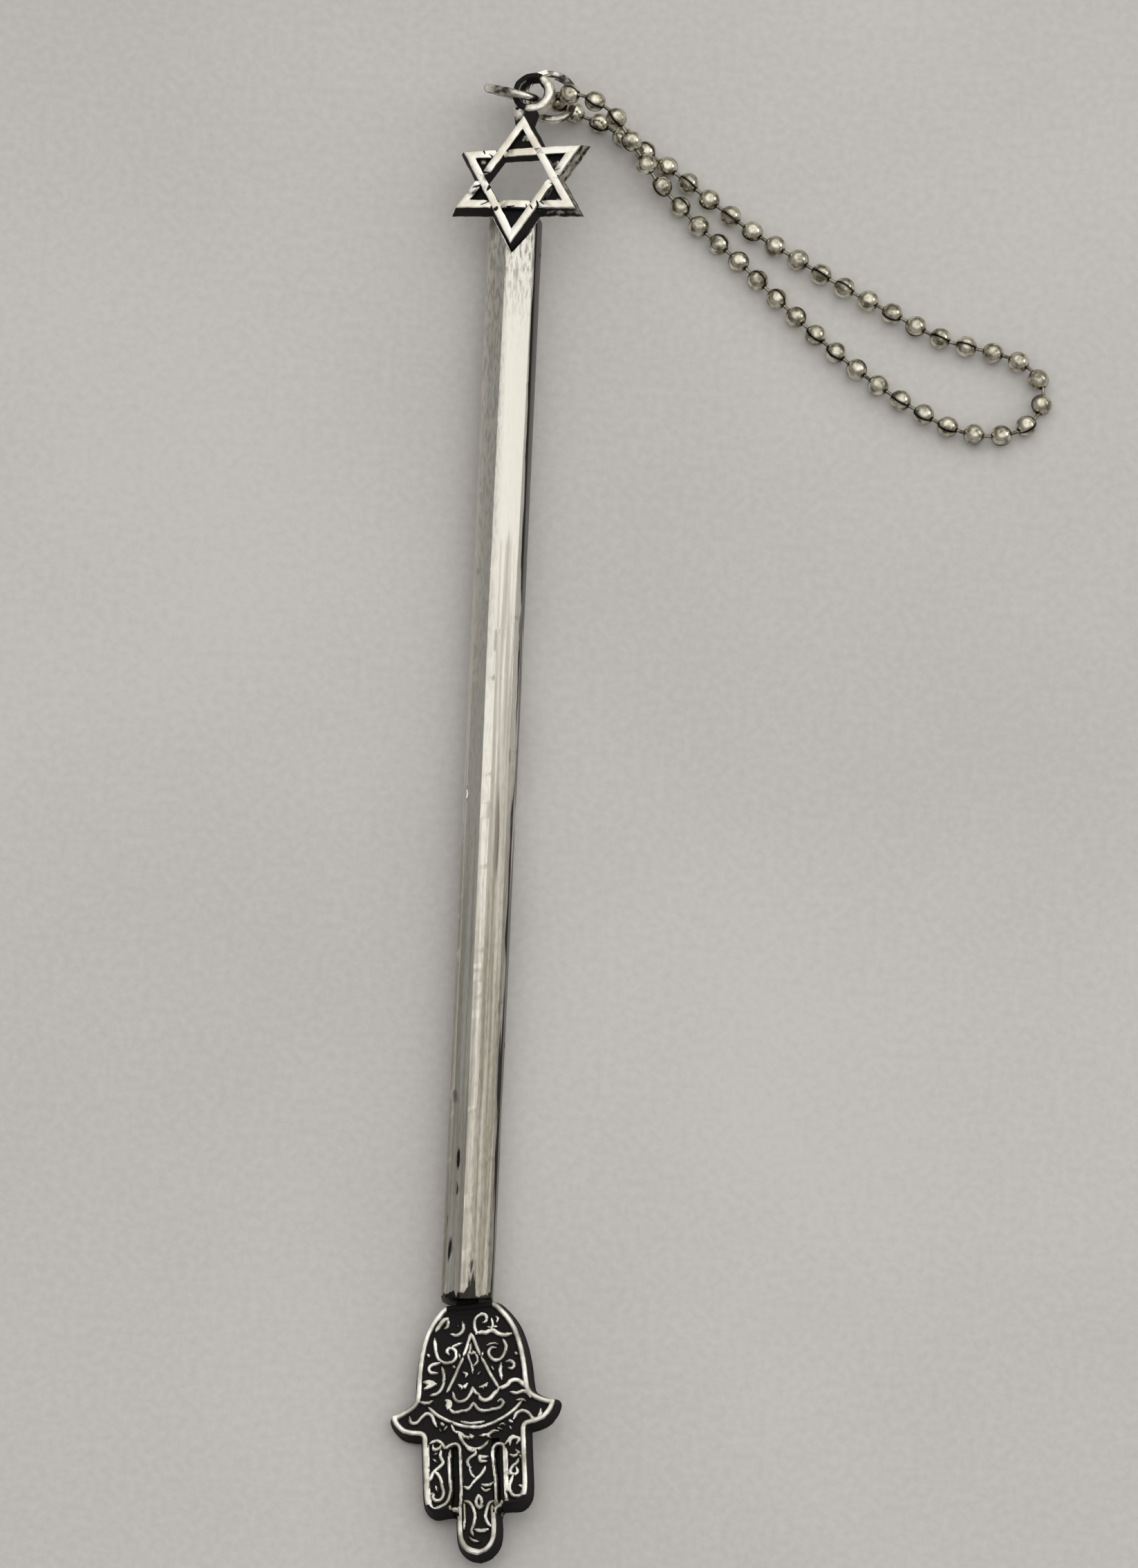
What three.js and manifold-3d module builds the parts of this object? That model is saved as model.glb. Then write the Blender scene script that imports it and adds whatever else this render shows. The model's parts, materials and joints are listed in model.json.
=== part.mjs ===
// Torah pointer lying on a table: a six-sided silver shaft with a star finial and a small open hand,
// and a closed loop of ball chain on two rings. Millimetres, +Z up, +Y from the hand to the star.

import * as THREE from 'three';
import { mergeVertices } from 'three/addons/utils/BufferGeometryUtils.js';
import Module from 'manifold-3d';

const wasm = await Module();
wasm.setup();

// Driving sizes: shaft
const shaftLength = 128.8;
const shaftAcrossFlats = 5.7;
const ridgeFlat = 1.1; // width of the small flat filed along each ridge
const shaftEndBreak = 0.15; // edge break at the two ends
const seatClearance = 0.15; // solder line under the star and round the tongue

// Driving sizes: star finial
const starRadius = 7.65; // centre to tip
const starBand = 0.85; // width of a star's bars
const starThickness = 2;
const starDraft = 0.45; // the cast walls widen this much towards the back
const starBackHeight = 2; // above the shaft's axis
const starRecess = 0.9; // depth of the blind triangles in the six tips
const starTurn = THREE.MathUtils.degToRad(-2);
const starAhead = 3.6; // star's centre beyond the shaft's head end
const starAside = 0.97; // star's centre to the right of the axis

// Driving sizes: eye on the star's top tip
const eyeHoleDiameter = 3.1;
const eyeBand = 0.85; // radial width of the eye's rim
const eyeThickness = 1.9;
const eyeReach = 10.42; // star's centre to the eye's centre
const eyeAside = 0.85; // the eye sits to the right of the star's top tip
const neckWidth = 1.7;
const neckThickness = 1.5;
const eyeRounding = 0.32; // rounding of the rim's corners, as a share of its smaller size

// Driving sizes: hand
const handLength = 30.6; // top of the arch to the longest finger's tip
const handWidth = 19.5; // over the two thumbs, at the back face
const palmWidth = 12.6; // over the outer fingers
const middleFingerWidth = 5.2;
const handThickness = 2;
const handFrontHeight = 0.75; // above the shaft's axis
const handDraft = 0.45;
const handRim = 0.6; // width of the raised rim
const handRecess = 0.4; // depth of the ground inside the rim
const fingerSlotWidth = 0.9;
const fingerSlotAside = 2.35; // middle of the hand to the middle of a slot
const fingerSlotDepth = 0.8; // below the ground
const handTurn = THREE.MathUtils.degToRad(4.3);
const handAside = 0.4;
const handGap = 0.35; // between the arch and the shaft's end face
const tongueWidth = 2.2;
const tongueThickness = 1.2;
const tongueLength = 3;
const tongueRoot = 1.5; // length of the tongue inside the hand's own metal
const handBackHeight = handFrontHeight - handThickness;
const handMiddleHeight = (handFrontHeight + handBackHeight) / 2;

// Driving sizes: rings
const jumpWire = 0.9;
const jumpMeanRadius = 2.95;
const jumpSlit = 0.25; // open ends of the bent wire
const splitWire = 0.7; // radial width of the flat wire
const splitWireHeight = 0.55;
const splitCoilGap = 0.1;
const splitMeanRadius = 2.75;
const splitTurns = 1.94;
const splitCorner = 0.15; // rounding of the flat wire's corners

// Driving sizes: ball chain
const beadDiameter = 2.4;
const beadWall = 0.15;
const beadHole = 0.52;
const pinDiameter = 0.28;
const pinHead = 0.54; // ball on the pin's free end
const pinDomeWidth = 0.6; // shares of the ball's radius: its half width near the end, and how far on that is
const pinDomeLength = 0.75;
const pinReach = 0.72; // the pin's head lies this far inside the next bead's hole
const beadPitch = 3.09;

// Where the two rings hang, seen from the eye
const jumpHeading = THREE.MathUtils.degToRad(-11.7); // the ring's plane, turned from the X axis
const jumpLean = THREE.MathUtils.degToRad(17); // the ring's top leans towards the hand
const jumpAside = 0.42; // ring's centre to the left of the middle of the eye's rim
const jumpAhead = 0.48;
const jumpDrop = 1.38;
const splitAside = 4.18; // split ring's centre from the jump ring's centre
const splitAhead = 0.3;
const splitDrop = 1.24;
const splitTilt = THREE.MathUtils.degToRad(6); // its left side is the higher one
const splitSpin = THREE.MathUtils.degToRad(90);

// Facets round turned pieces
const beadSides = 8;
const beadRings = 4;
const routeDivisions = 2000;
const settlingRounds = 12;
const pinRoot = 0.05; // overlap of the pin with the bead's wall
const axisTolerance = 1e-6;
const wireSides = 8;
const jumpSteps = 28;
const splitStepsPerTurn = 24;
const eyeSteps = 28;
const overrun = 0.5; // cutting tools run past the faces they cut
const mergeTolerance = 1e-4;
const mitreLimit = 0.7; // keeps the corners of offset outlines from growing into spikes

// The chain's route, a list chosen by hand: X and Y from the split ring's centre, Z above the table
const chainRoute = [
  [2.2, -0.55, 6.25], [3.55, -0.75, 6.6], [5.05, -1.25, 6.35], [7.45, -2.75, 5.4], [9.25, -5.05, 4.4],
  [11.05, -7.35, 3.25], [12.95, -9.65, 2.15], [15.15, -11.75, 1.4], [17.35, -13.95, 1.2],
  [22.05, -18.05, 1.2], [26.65, -22.45, 1.2], [31.35, -26.75, 1.2], [36.15, -30.65, 1.2],
  [41.45, -34.25, 1.2], [46.95, -37.05, 1.2], [50.15, -37.65, 1.2], [53.25, -37.35, 1.2],
  [55.75, -35.65, 1.2], [56.75, -33.25, 1.2], [56.15, -30.65, 1.2], [54.15, -28.85, 1.2],
  [51.35, -27.85, 1.2], [45.35, -26.35, 1.2], [39.65, -23.55, 1.2], [34.05, -20.65, 1.2],
  [28.75, -17.55, 1.2], [23.45, -14.35, 1.2], [18.45, -10.75, 1.2], [13.65, -7.05, 1.2],
  [9.05, -3.95, 1.2], [6.15, -2.25, 1.2], [3.55, -1.15, 1.25], [2.2, -0.85, 1.65], [1.25, -0.65, 2.6],
  [0.85, -0.5, 3.9], [1.2, -0.45, 5.2],
];

const silver = (name, color, roughness) => {
  const material = new THREE.MeshStandardMaterial({ color, roughness, metalness: 1 });
  material.name = name;
  return material;
};
const shaftSilver = silver('aged_silver', 0xc9c2ae, 0.34);
const castSilver = silver('oxidised_silver', 0x8e897d, 0.42);
const ringSilver = silver('ring_silver', 0xbdb8a8, 0.32);
const chainNickel = silver('warm_nickel', 0xb7b09a, 0.3);

// A closed three.js geometry as a manifold solid, and back
function toSolid(geometry) {
  const bare = geometry.clone();
  bare.deleteAttribute('normal');
  bare.deleteAttribute('uv');
  const merged = mergeVertices(bare, mergeTolerance);
  return new wasm.Manifold(new wasm.Mesh({
    numProp: 3,
    vertProperties: new Float32Array(merged.attributes.position.array),
    triVerts: new Uint32Array(merged.index.array),
  }));
}

function toGeometry(solid) {
  const { vertProperties, triVerts } = solid.getMesh();
  const geometry = new THREE.BufferGeometry();
  geometry.setAttribute('position', new THREE.BufferAttribute(new Float32Array(vertProperties), 3));
  geometry.setIndex(new THREE.BufferAttribute(new Uint32Array(triVerts), 1));
  geometry.computeVertexNormals();
  return geometry;
}

function namedMesh(name, geometry, material) {
  const mesh = new THREE.Mesh(geometry, material);
  mesh.name = name;
  return mesh;
}

// A box from its centre and its three sizes
function block(width, length, height, x, y, z) {
  return toSolid(new THREE.BoxGeometry(width, length, height).translate(x, y, z));
}

// Moves every side of an anticlockwise outline outwards by a distance (inwards if negative)
function offsetOutline(points, distance) {
  return points.map((point, index) => {
    const before = points[(index + points.length - 1) % points.length];
    const after = points[(index + 1) % points.length];
    const sideIn = new THREE.Vector2().subVectors(point, before).normalize();
    const sideOut = new THREE.Vector2().subVectors(after, point).normalize();
    const normalIn = new THREE.Vector2(sideIn.y, -sideIn.x);
    const normalOut = new THREE.Vector2(sideOut.y, -sideOut.x);
    const mitre = normalIn.clone().add(normalOut);
    const stretch = 2 / Math.max(mitre.lengthSq(), mitreLimit);
    return point.clone().addScaledVector(mitre, distance * stretch);
  });
}

// A closed body through rings of points, all with as many points; the ends are capped like capOutline
function loft(rings, capOutline) {
  const count = rings[0].length;
  const positions = rings.flat().flatMap((point) => [point.x, point.y, point.z]);
  const index = [];
  const last = (rings.length - 1) * count;
  for (const [a, b, c] of THREE.ShapeUtils.triangulateShape(capOutline, [])) {
    index.push(c, b, a, last + a, last + b, last + c);
  }
  for (let ring = 0; ring < rings.length - 1; ring += 1) {
    for (let side = 0; side < count; side += 1) {
      const a = ring * count + side;
      const b = ring * count + ((side + 1) % count);
      index.push(a, b, b + count, a, b + count, a + count);
    }
  }
  const geometry = new THREE.BufferGeometry();
  geometry.setAttribute('position', new THREE.Float32BufferAttribute(positions, 3));
  geometry.setIndex(index);
  geometry.computeVertexNormals();
  return geometry;
}

// A closed body whose outline changes from level to level: [{ outline, z }, ...]
function levelledBody(levels) {
  const rings = levels.map(({ outline, z }) => outline.map((point) => new THREE.Vector3(point.x, point.y, z)));
  return loft(rings, levels[0].outline);
}

// Tips of the uneven, hand-cut star, anticlockwise from the top one, as shares of its radius
const starTipShares = [
  [0.01, 0.986], [-0.848, 0.415], [-0.903, -0.449], [-0.042, -1.008], [0.887, -0.462], [0.897, 0.517],
];
const starTriangles = [0, 1].map((first) => [first, first + 2, first + 4].map((tip) => (
  new THREE.Vector2(...starTipShares[tip]).multiplyScalar(starRadius)
)));

// Shaft: a hexagon standing on a ridge, every ridge cut to a small flat
const flatRadius = shaftAcrossFlats / 2;
const sharpRidge = flatRadius / Math.cos(Math.PI / 6);
const ridgeRadius = sharpRidge - ridgeFlat / 2 / Math.tan(Math.PI / 3);

function shaftSection() {
  const points = [];
  for (let ridge = 0; ridge < 6; ridge += 1) {
    const angle = Math.PI / 2 + (ridge * Math.PI) / 3;
    const out = new THREE.Vector2(Math.cos(angle), Math.sin(angle));
    const along = new THREE.Vector2(-out.y, out.x);
    for (const side of [-1, 1]) {
      points.push(out.clone().multiplyScalar(ridgeRadius).addScaledVector(along, (side * ridgeFlat) / 2));
    }
  }
  return points;
}

function makeShaft() {
  const section = shaftSection();
  const broken = offsetOutline(section, -shaftEndBreak);
  const bar = levelledBody([
    { outline: broken, z: 0 },
    { outline: section, z: shaftEndBreak },
    { outline: section, z: shaftLength - shaftEndBreak },
    { outline: broken, z: shaftLength },
  ]);
  bar.rotateX(Math.PI / 2);
  const starBackTips = starTriangles.flatMap((tips) => offsetOutline(tips, starDraft));
  const starFoot = -Math.min(...starBackTips.map(({ y }) => y));
  const seatLength = starFoot - starAhead + seatClearance;
  const seatDepth = sharpRidge - starBackHeight + seatClearance;
  const seat = block(
    shaftAcrossFlats * 2, seatLength + overrun, seatDepth + overrun,
    0, (overrun - seatLength) / 2, sharpRidge + (overrun - seatDepth) / 2,
  );
  const slot = block(
    tongueWidth + seatClearance * 2, tongueLength + seatClearance + overrun, tongueThickness + seatClearance * 2,
    0, -shaftLength + (tongueLength + seatClearance - overrun) / 2, handMiddleHeight,
  );
  return toGeometry(toSolid(bar).subtract(seat).subtract(slot));
}

// Star: two crossed triangles of flat bar, open in the middle, with six blind triangles in the tips
function prism(points, bottom, top) {
  return toSolid(levelledBody([{ outline: points, z: bottom }, { outline: points, z: top }]));
}

function starBody() {
  const frames = starTriangles.map((tips) => toSolid(levelledBody([
    { outline: offsetOutline(tips, starDraft), z: 0 },
    { outline: tips, z: starThickness },
  ])));
  const openings = starTriangles.map((tips) => (
    prism(offsetOutline(tips, -starBand), -overrun, starThickness + overrun)
  ));
  const floors = starTriangles.map((tips) => (
    prism(offsetOutline(tips, -starBand / 2), 0, starThickness - starRecess)
  ));
  const hexagon = openings[0].intersect(openings[1]);
  return floors[0].add(floors[1]).subtract(hexagon)
    .add(frames[0].subtract(openings[0]))
    .add(frames[1].subtract(openings[1]));
}

// A ring of rounded section, lying flat round the Z axis
function roundedRing(meanRadius, width, height, steps) {
  const round = Math.min(width, height) * eyeRounding;
  const right = meanRadius + width / 2;
  const left = meanRadius - width / 2;
  const half = height / 2;
  const profile = [
    [left + round, -half], [right - round, -half], [right, round - half], [right, half - round],
    [right - round, half], [left + round, half], [left, half - round], [left, round - half],
    [left + round, -half],
  ].map(([radius, z]) => new THREE.Vector2(radius, z));
  return new THREE.LatheGeometry(profile, steps).rotateX(Math.PI / 2);
}

const eyeMeanRadius = (eyeHoleDiameter + eyeBand) / 2;

function makeStar() {
  const middle = starThickness / 2;
  const rim = roundedRing(eyeMeanRadius, eyeBand, eyeThickness, eyeSteps).translate(eyeAside, eyeReach, middle);
  const topTip = starTriangles[0][0];
  const neckStart = topTip.y - starBand * 2;
  const neckEnd = eyeReach - eyeMeanRadius;
  const half = neckWidth / 2;
  const neckOutline = [
    [topTip.x - half, neckStart], [topTip.x + half, neckStart],
    [eyeAside + half, neckEnd], [eyeAside - half, neckEnd],
  ].map(([x, y]) => new THREE.Vector2(x, y));
  const neck = prism(neckOutline, middle - neckThickness / 2, middle + neckThickness / 2);
  return toGeometry(starBody().add(neck).add(toSolid(rim)));
}

// Hand: the right half of its outline from the arch's top to the longest finger's tip, as shares of half the
// hand's width, half the palm or half the middle finger, and of the hand's length
const handHalf = { thumb: handWidth / 2, palm: palmWidth / 2, finger: middleFingerWidth / 2 };
const handOutlineShares = [
  ['palm', 0.43, 0], ['palm', 0.65, 0.035], ['palm', 0.86, 0.1], ['palm', 0.985, 0.18], ['palm', 1.05, 0.26],
  ['palm', 1.075, 0.325], ['palm', 1.125, 0.366], ['thumb', 0.87, 0.394], ['thumb', 0.97, 0.402],
  ['thumb', 1, 0.42], ['thumb', 0.965, 0.455], ['thumb', 0.87, 0.492], ['thumb', 0.76, 0.508],
  ['palm', 1, 0.515], ['palm', 1, 0.62], ['palm', 1, 0.735], ['palm', 0.95, 0.785], ['palm', 0.8, 0.815],
  ['palm', 0.55, 0.815], ['finger', 1, 0.815], ['finger', 1, 0.9], ['finger', 0.86, 0.95],
  ['finger', 0.5, 0.985],
];

function handOutline() {
  const right = handOutlineShares.map(([across, x, y]) => new THREE.Vector2(handHalf[across] * x, -handLength * y));
  const left = right.map((point) => new THREE.Vector2(-point.x, point.y));
  const tip = new THREE.Vector2(0, -handLength);
  return [...left, tip, ...right.reverse()];
}

const slotTopShare = 0.505;
const slotFootShare = 0.83;

function makeHand() {
  const back = handOutline();
  const front = offsetOutline(back, -handDraft);
  const ground = offsetOutline(front, -handRim);
  const groundHeight = handFrontHeight - handRecess;
  let hand = toSolid(levelledBody([
    { outline: back, z: handBackHeight },
    { outline: front, z: handFrontHeight },
    { outline: ground, z: handFrontHeight },
    { outline: ground, z: groundHeight },
  ]).translate(0, -handGap, 0));
  const slotLength = handLength * (slotFootShare - slotTopShare);
  const slotMiddle = -handLength * (slotFootShare + slotTopShare) / 2;
  for (const side of [-1, 1]) {
    hand = hand.subtract(block(
      fingerSlotWidth, slotLength, fingerSlotDepth + overrun,
      side * fingerSlotAside, slotMiddle, groundHeight + (overrun - fingerSlotDepth) / 2,
    ));
  }
  const turned = toGeometry(hand).rotateZ(handTurn).translate(handAside, -shaftLength, 0);
  const tongue = block(
    tongueWidth, tongueLength + tongueRoot, tongueThickness,
    0, -shaftLength + (tongueLength - tongueRoot) / 2, handMiddleHeight,
  );
  return toGeometry(toSolid(turned).add(tongue));
}

// How the pointer lies: rolled until the left thumb's back corner and the shaft's lowest ridge both touch
const thumbPoint = handOutline().reduce((lowest, point) => (point.x < lowest.x ? point : lowest));
const thumbReach = -thumbPoint.clone().rotateAround(new THREE.Vector2(), handTurn).x - handAside;
const roll = Math.atan2(ridgeRadius + handBackHeight, thumbReach - ridgeFlat / 2);
const axisHeight = (ridgeFlat / 2) * Math.sin(roll) + ridgeRadius * Math.cos(roll);

const pointer = new THREE.Group();
pointer.position.z = axisHeight;
pointer.rotation.y = -roll;
pointer.add(namedMesh('shaft', makeShaft(), shaftSilver));
const star = namedMesh('star_finial', makeStar(), castSilver);
star.position.set(starAside, starAhead, starBackHeight);
star.rotation.z = starTurn;
pointer.add(star);
pointer.add(namedMesh('hamsa_hand', makeHand(), castSilver));
pointer.updateMatrixWorld(true);

// Rings: a wire of any section bent round the Z axis, rising by one pitch a turn
function bentWire(section, meanRadius, turns, pitch, steps) {
  const rings = [];
  for (let step = 0; step <= steps; step += 1) {
    const share = step / steps - 0.5;
    const angle = share * turns * Math.PI * 2;
    const radial = new THREE.Vector3(Math.cos(angle), Math.sin(angle), 0);
    rings.push(section.map((point) => (
      radial.clone().multiplyScalar(meanRadius + point.x).setZ(point.y + share * turns * pitch)
    )));
  }
  return loft(rings, section.map((point) => point.clone())).scale(1, 1, -1);
}

function roundSection(diameter, sides) {
  const points = [];
  for (let side = 0; side < sides; side += 1) {
    const angle = ((side + 0.5) * Math.PI * 2) / sides;
    points.push(new THREE.Vector2(Math.cos(angle), Math.sin(angle)).multiplyScalar(diameter / 2));
  }
  return points;
}

function flatSection(width, height, corner) {
  const x = width / 2;
  const y = height / 2;
  return [
    [x - corner, -y], [x, corner - y], [x, y - corner], [x - corner, y],
    [corner - x, y], [-x, y - corner], [-x, corner - y], [corner - x, -y],
  ].map(([across, up]) => new THREE.Vector2(across, up));
}

const eyeCentre = star.localToWorld(new THREE.Vector3(eyeAside, eyeReach, starThickness / 2));

const jumpTurns = 1 - jumpSlit / (Math.PI * 2 * jumpMeanRadius);
const jumpGeometry = bentWire(roundSection(jumpWire, wireSides), jumpMeanRadius, jumpTurns, 0, jumpSteps);
const jumpRing = namedMesh('jump_ring', jumpGeometry, ringSilver);
jumpRing.position.copy(eyeCentre).add(new THREE.Vector3(-eyeMeanRadius - jumpAside, jumpAhead, -jumpDrop));
jumpRing.rotation.set(Math.PI / 2 + jumpLean, 0, jumpHeading, 'ZXY');

const splitSection = flatSection(splitWire, splitWireHeight, splitCorner);
const splitSteps = Math.round(splitStepsPerTurn * splitTurns);
const splitGeometry = bentWire(
  splitSection, splitMeanRadius, splitTurns, splitWireHeight + splitCoilGap, splitSteps,
);
const splitRing = namedMesh('split_ring', splitGeometry, ringSilver);
splitRing.position.copy(jumpRing.position).add(new THREE.Vector3(splitAside, splitAhead, -splitDrop));
splitRing.rotation.set(0, splitTilt, splitSpin, 'YXZ');

// Ball chain: beads evenly spaced along the closed route
const route = new THREE.CatmullRomCurve3(
  chainRoute.map(([x, y, z]) => new THREE.Vector3(splitRing.position.x + x, splitRing.position.y + y, z)),
  true, 'centripetal',
);
route.arcLengthDivisions = routeDivisions;
const beadCount = Math.round(route.getLength() / beadPitch);
const beadCentres = Array.from({ length: beadCount }, (_, bead) => route.getPointAt(bead / beadCount));
const around = (bead) => beadCentres[(bead + beadCount) % beadCount];

const beadRadius = beadDiameter / 2;
const cavityRadius = beadRadius - beadWall;
const holeRadius = beadHole / 2;
const holeReach = Math.sqrt(beadRadius ** 2 - holeRadius ** 2); // bead's centre to the hole's outer edge
const cavityHoleReach = Math.sqrt(cavityRadius ** 2 - holeRadius ** 2);

function arcPoints(radius, fromAngle, toAngle, steps) {
  return Array.from({ length: steps + 1 }, (_, step) => {
    const angle = fromAngle + ((toAngle - fromAngle) * step) / steps;
    return new THREE.Vector2(Math.sin(angle) * radius, Math.cos(angle) * radius);
  });
}

// Hollow bead along +Y, open at its -Y pole and closed at the +Y pole, where its own pin goes through
function beadShell() {
  const inside = arcPoints(cavityRadius, 0, Math.PI - Math.asin(holeRadius / cavityRadius), beadRings);
  const outside = arcPoints(beadRadius, Math.PI - Math.asin(holeRadius / beadRadius), 0, beadRings);
  return toSolid(new THREE.LatheGeometry([...inside, ...outside].map(snapToAxis), beadSides));
}

function snapToAxis(point) {
  return Math.abs(point.x) < axisTolerance ? point.setX(0) : point;
}

// Headed pin along +Y from its root at zero
function pinBody(length) {
  const radius = pinDiameter / 2;
  const head = pinHead / 2;
  const neck = length - Math.sqrt(head ** 2 - radius ** 2);
  const profile = [
    new THREE.Vector2(0, 0), new THREE.Vector2(radius, 0), new THREE.Vector2(radius, neck),
    new THREE.Vector2(head, length), new THREE.Vector2(head * pinDomeWidth, length + head * pinDomeLength),
    new THREE.Vector2(0, length + head),
  ];
  return toSolid(new THREE.LatheGeometry(profile, beadSides));
}

function aimed(solid, from, direction) {
  const turn = new THREE.Quaternion().setFromUnitVectors(new THREE.Vector3(0, 1, 0), direction);
  const matrix = new THREE.Matrix4().compose(from, turn, new THREE.Vector3(1, 1, 1));
  return solid.transform(matrix.elements);
}

// Each bead turns until the pins at its two ends lean away from its axis alike
const holeMiddle = (holeReach + cavityHoleReach) / 2;
const ringOf = (list) => (bead) => list[(bead + beadCount) % beadCount];
const pinDirection = (axisOf) => (bead) => (
  new THREE.Vector3().subVectors(around(bead + 1), around(bead))
    .addScaledVector(axisOf(bead), -holeMiddle).addScaledVector(axisOf(bead + 1), -holeMiddle).normalize()
);
let beadAxes = beadCentres.map((_, bead) => (
  new THREE.Vector3().subVectors(around(bead + 1), around(bead - 1)).normalize()
));
for (let round = 0; round < settlingRounds; round += 1) {
  const pinOf = pinDirection(ringOf(beadAxes));
  beadAxes = beadAxes.map((axis, bead) => (
    pinOf(bead).add(pinOf(bead - 1)).normalize().add(axis).normalize()
  ));
}
const axisOf = ringOf(beadAxes);
const entryOf = (bead) => around(bead).clone().addScaledVector(axisOf(bead), -holeMiddle);

const chain = new THREE.Group();
const shell = beadShell();
for (let bead = 0; bead < beadCount; bead += 1) {
  const axis = axisOf(bead);
  const rootPoint = around(bead).clone().addScaledVector(axis, cavityHoleReach - pinRoot);
  const pinLine = new THREE.Vector3().subVectors(entryOf(bead + 1), rootPoint);
  const pin = aimed(pinBody(pinLine.length() + pinReach), rootPoint, pinLine.clone().normalize());
  const solid = aimed(shell, around(bead), axis).add(pin);
  const geometry = toGeometry(solid.translate(around(bead).clone().negate().toArray()));
  const mesh = namedMesh(`chain_bead_${String(bead + 1).padStart(2, '0')}`, geometry, chainNickel);
  mesh.position.copy(around(bead));
  chain.add(mesh);
}

// The whole part stands with the middle of its base at the origin
const assembly = new THREE.Group();
assembly.add(pointer, jumpRing, splitRing, chain);
const bounds = new THREE.Box3().setFromObject(assembly, true);
const middle = bounds.getCenter(new THREE.Vector3());
assembly.position.set(-middle.x, -middle.y, -bounds.min.z);

const torahPointer = new THREE.Group();
torahPointer.add(assembly);

export default torahPointer;
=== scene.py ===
import json
import math
import random

import bmesh
import bpy
import numpy as np
from mathutils import Matrix, Vector, geometry, kdtree, noise


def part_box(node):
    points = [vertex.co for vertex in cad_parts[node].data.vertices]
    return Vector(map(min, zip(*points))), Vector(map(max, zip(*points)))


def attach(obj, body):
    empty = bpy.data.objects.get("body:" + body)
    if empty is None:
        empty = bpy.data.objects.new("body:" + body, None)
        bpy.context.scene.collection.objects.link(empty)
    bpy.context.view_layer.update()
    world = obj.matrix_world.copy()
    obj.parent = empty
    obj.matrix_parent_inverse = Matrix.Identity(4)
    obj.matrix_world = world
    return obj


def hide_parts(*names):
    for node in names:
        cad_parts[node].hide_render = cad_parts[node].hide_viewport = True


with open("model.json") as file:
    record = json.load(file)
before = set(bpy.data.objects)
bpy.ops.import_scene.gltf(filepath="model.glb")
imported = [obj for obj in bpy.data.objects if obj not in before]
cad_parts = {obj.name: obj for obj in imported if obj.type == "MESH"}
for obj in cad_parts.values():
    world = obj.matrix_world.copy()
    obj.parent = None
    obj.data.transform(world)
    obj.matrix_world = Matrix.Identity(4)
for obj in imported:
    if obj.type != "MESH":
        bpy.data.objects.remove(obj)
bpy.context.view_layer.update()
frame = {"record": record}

# Lengths below are in millimetres until a piece is placed
MM = 0.001

# Without a seed of its own Blender's vector noise takes one from the clock, and cast edges differ each run
EDGE_SEED = 1796050853

# Camera as in the photograph: high above the hand's end, from far away
PHOTO_HEIGHT = 2268  # pixels
PHOTO_SCALE = 12.9  # pixels per millimetre
CAMERA_ELEVATION = math.radians(70)
CAMERA_LEAN = math.radians(2.4)
CAMERA_AIM = Vector((8.76, -66.07, 0))
CAMERA_LENS = 1000
CAMERA_SENSOR = 36
CAMERA_CLIP = (0.1, 20)  # metres

# Light: a room that grows brighter towards one direction, and a window, its place and size in metres
ROOM_COLOUR = (1, 0.988, 0.96)
ROOM_AXIS = Vector((0.18, 0.22, 0.96))
ROOM_FADE = (0.42, 0.92)
ROOM_LOW, ROOM_HIGH = 0.32, 1.18
WINDOW_PLACE = (0.55, 0.15, 0.24)
WINDOW_SIZE = (0.24, 0.2)
WINDOW_WATTS = 0.35
TABLE_SIZE = 1.5

# Shaft, how it lies, and the wear of its ridges
SHAFT_LENGTH = 128.8
SHAFT_ACROSS_FLATS = 5.7
SHARP_RIDGE = SHAFT_ACROSS_FLATS / 2 / math.cos(math.pi / 6)
RIDGE_STEP = 60  # degrees from one ridge to the next
RIDGE_FLAT = 1.1
SHAFT_AXIS_HEIGHT = 3.022
SHAFT_ROLL = 0.21721
SHAFT_TWIST = math.radians(8.5)
TWIST_START = -8
NARROW_RIDGE = 0.42
NARROW_LENGTH = 48
SEAT_CLEARANCE = 0.1
EDGE_ROUND = 0.06
END_SLANT = 0.42
SHAFT_CUTS = 257
WEAR_DEPTH = 0.03
NICK_DEPTH = 0.3
NICK_LEVEL = 0.42

# Along the shaft: millimetres from its head, and the polish with painted sheen, the tarnish with painted
# shade, or the pits there
# Polish values also paint sheen: a painted highlight along the bright facet near the head, and facets and
# ridges lighter or darker as light falls on them
RIDGE_POLISH_AND_SHEEN = ((0, 57, 82, 98, 123), (0.85, 0.78, 0.45, 0.38, 0.24))
BRIGHT_FACET_POLISH_AND_SHEEN = ((0, 7, 36, 40, 57, 82, 98, 123), (0.8, 1, 1, 0.56, 0.44, 0.24, 0.13, 0.1))
OTHER_FACET_POLISH_AND_SHEEN = ((0, 80, 98, 123), (0.8, 0.78, 0.6, 0.45))
# The right side and the head under the star are painted dark, as shade as well as tarnish
RIGHT_SIDE_TARNISH_AND_SHADE = ((0, 27, 45, 75, 82, 98, 110, 128), (1, 1, 0.8, 0.55, 0.95, 0.9, 0.6, 0.7))
RIGHT_RIDGE_BARE = ((70, 80), (0.5, 0.15))
HAND_END_TARNISH = ((121, 125, 128.8), (0, 0.45, 0.8))
HEAD_TARNISH_AND_SHADE = ((0, 3), (0.45, 0))
LEFT_PITS = ((0, 14, 32, 60), (0.7, 0.45, 0.35, 0.18))
FILED_PITS = ((4, 8, 13, 18, 40, 60, 80, 128), (1, 0.65, 0.12, 0.03, 0.05, 0.1, 0.22, 0.35))
OUTER_PITS = 0.3

# Round the shaft: degrees to the right of the top ridge where these begin or end
RIGHT_SIDE_END = 130
HAND_END_FROM, HAND_END_TO = -4, 42
FILED_FROM = -5

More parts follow.
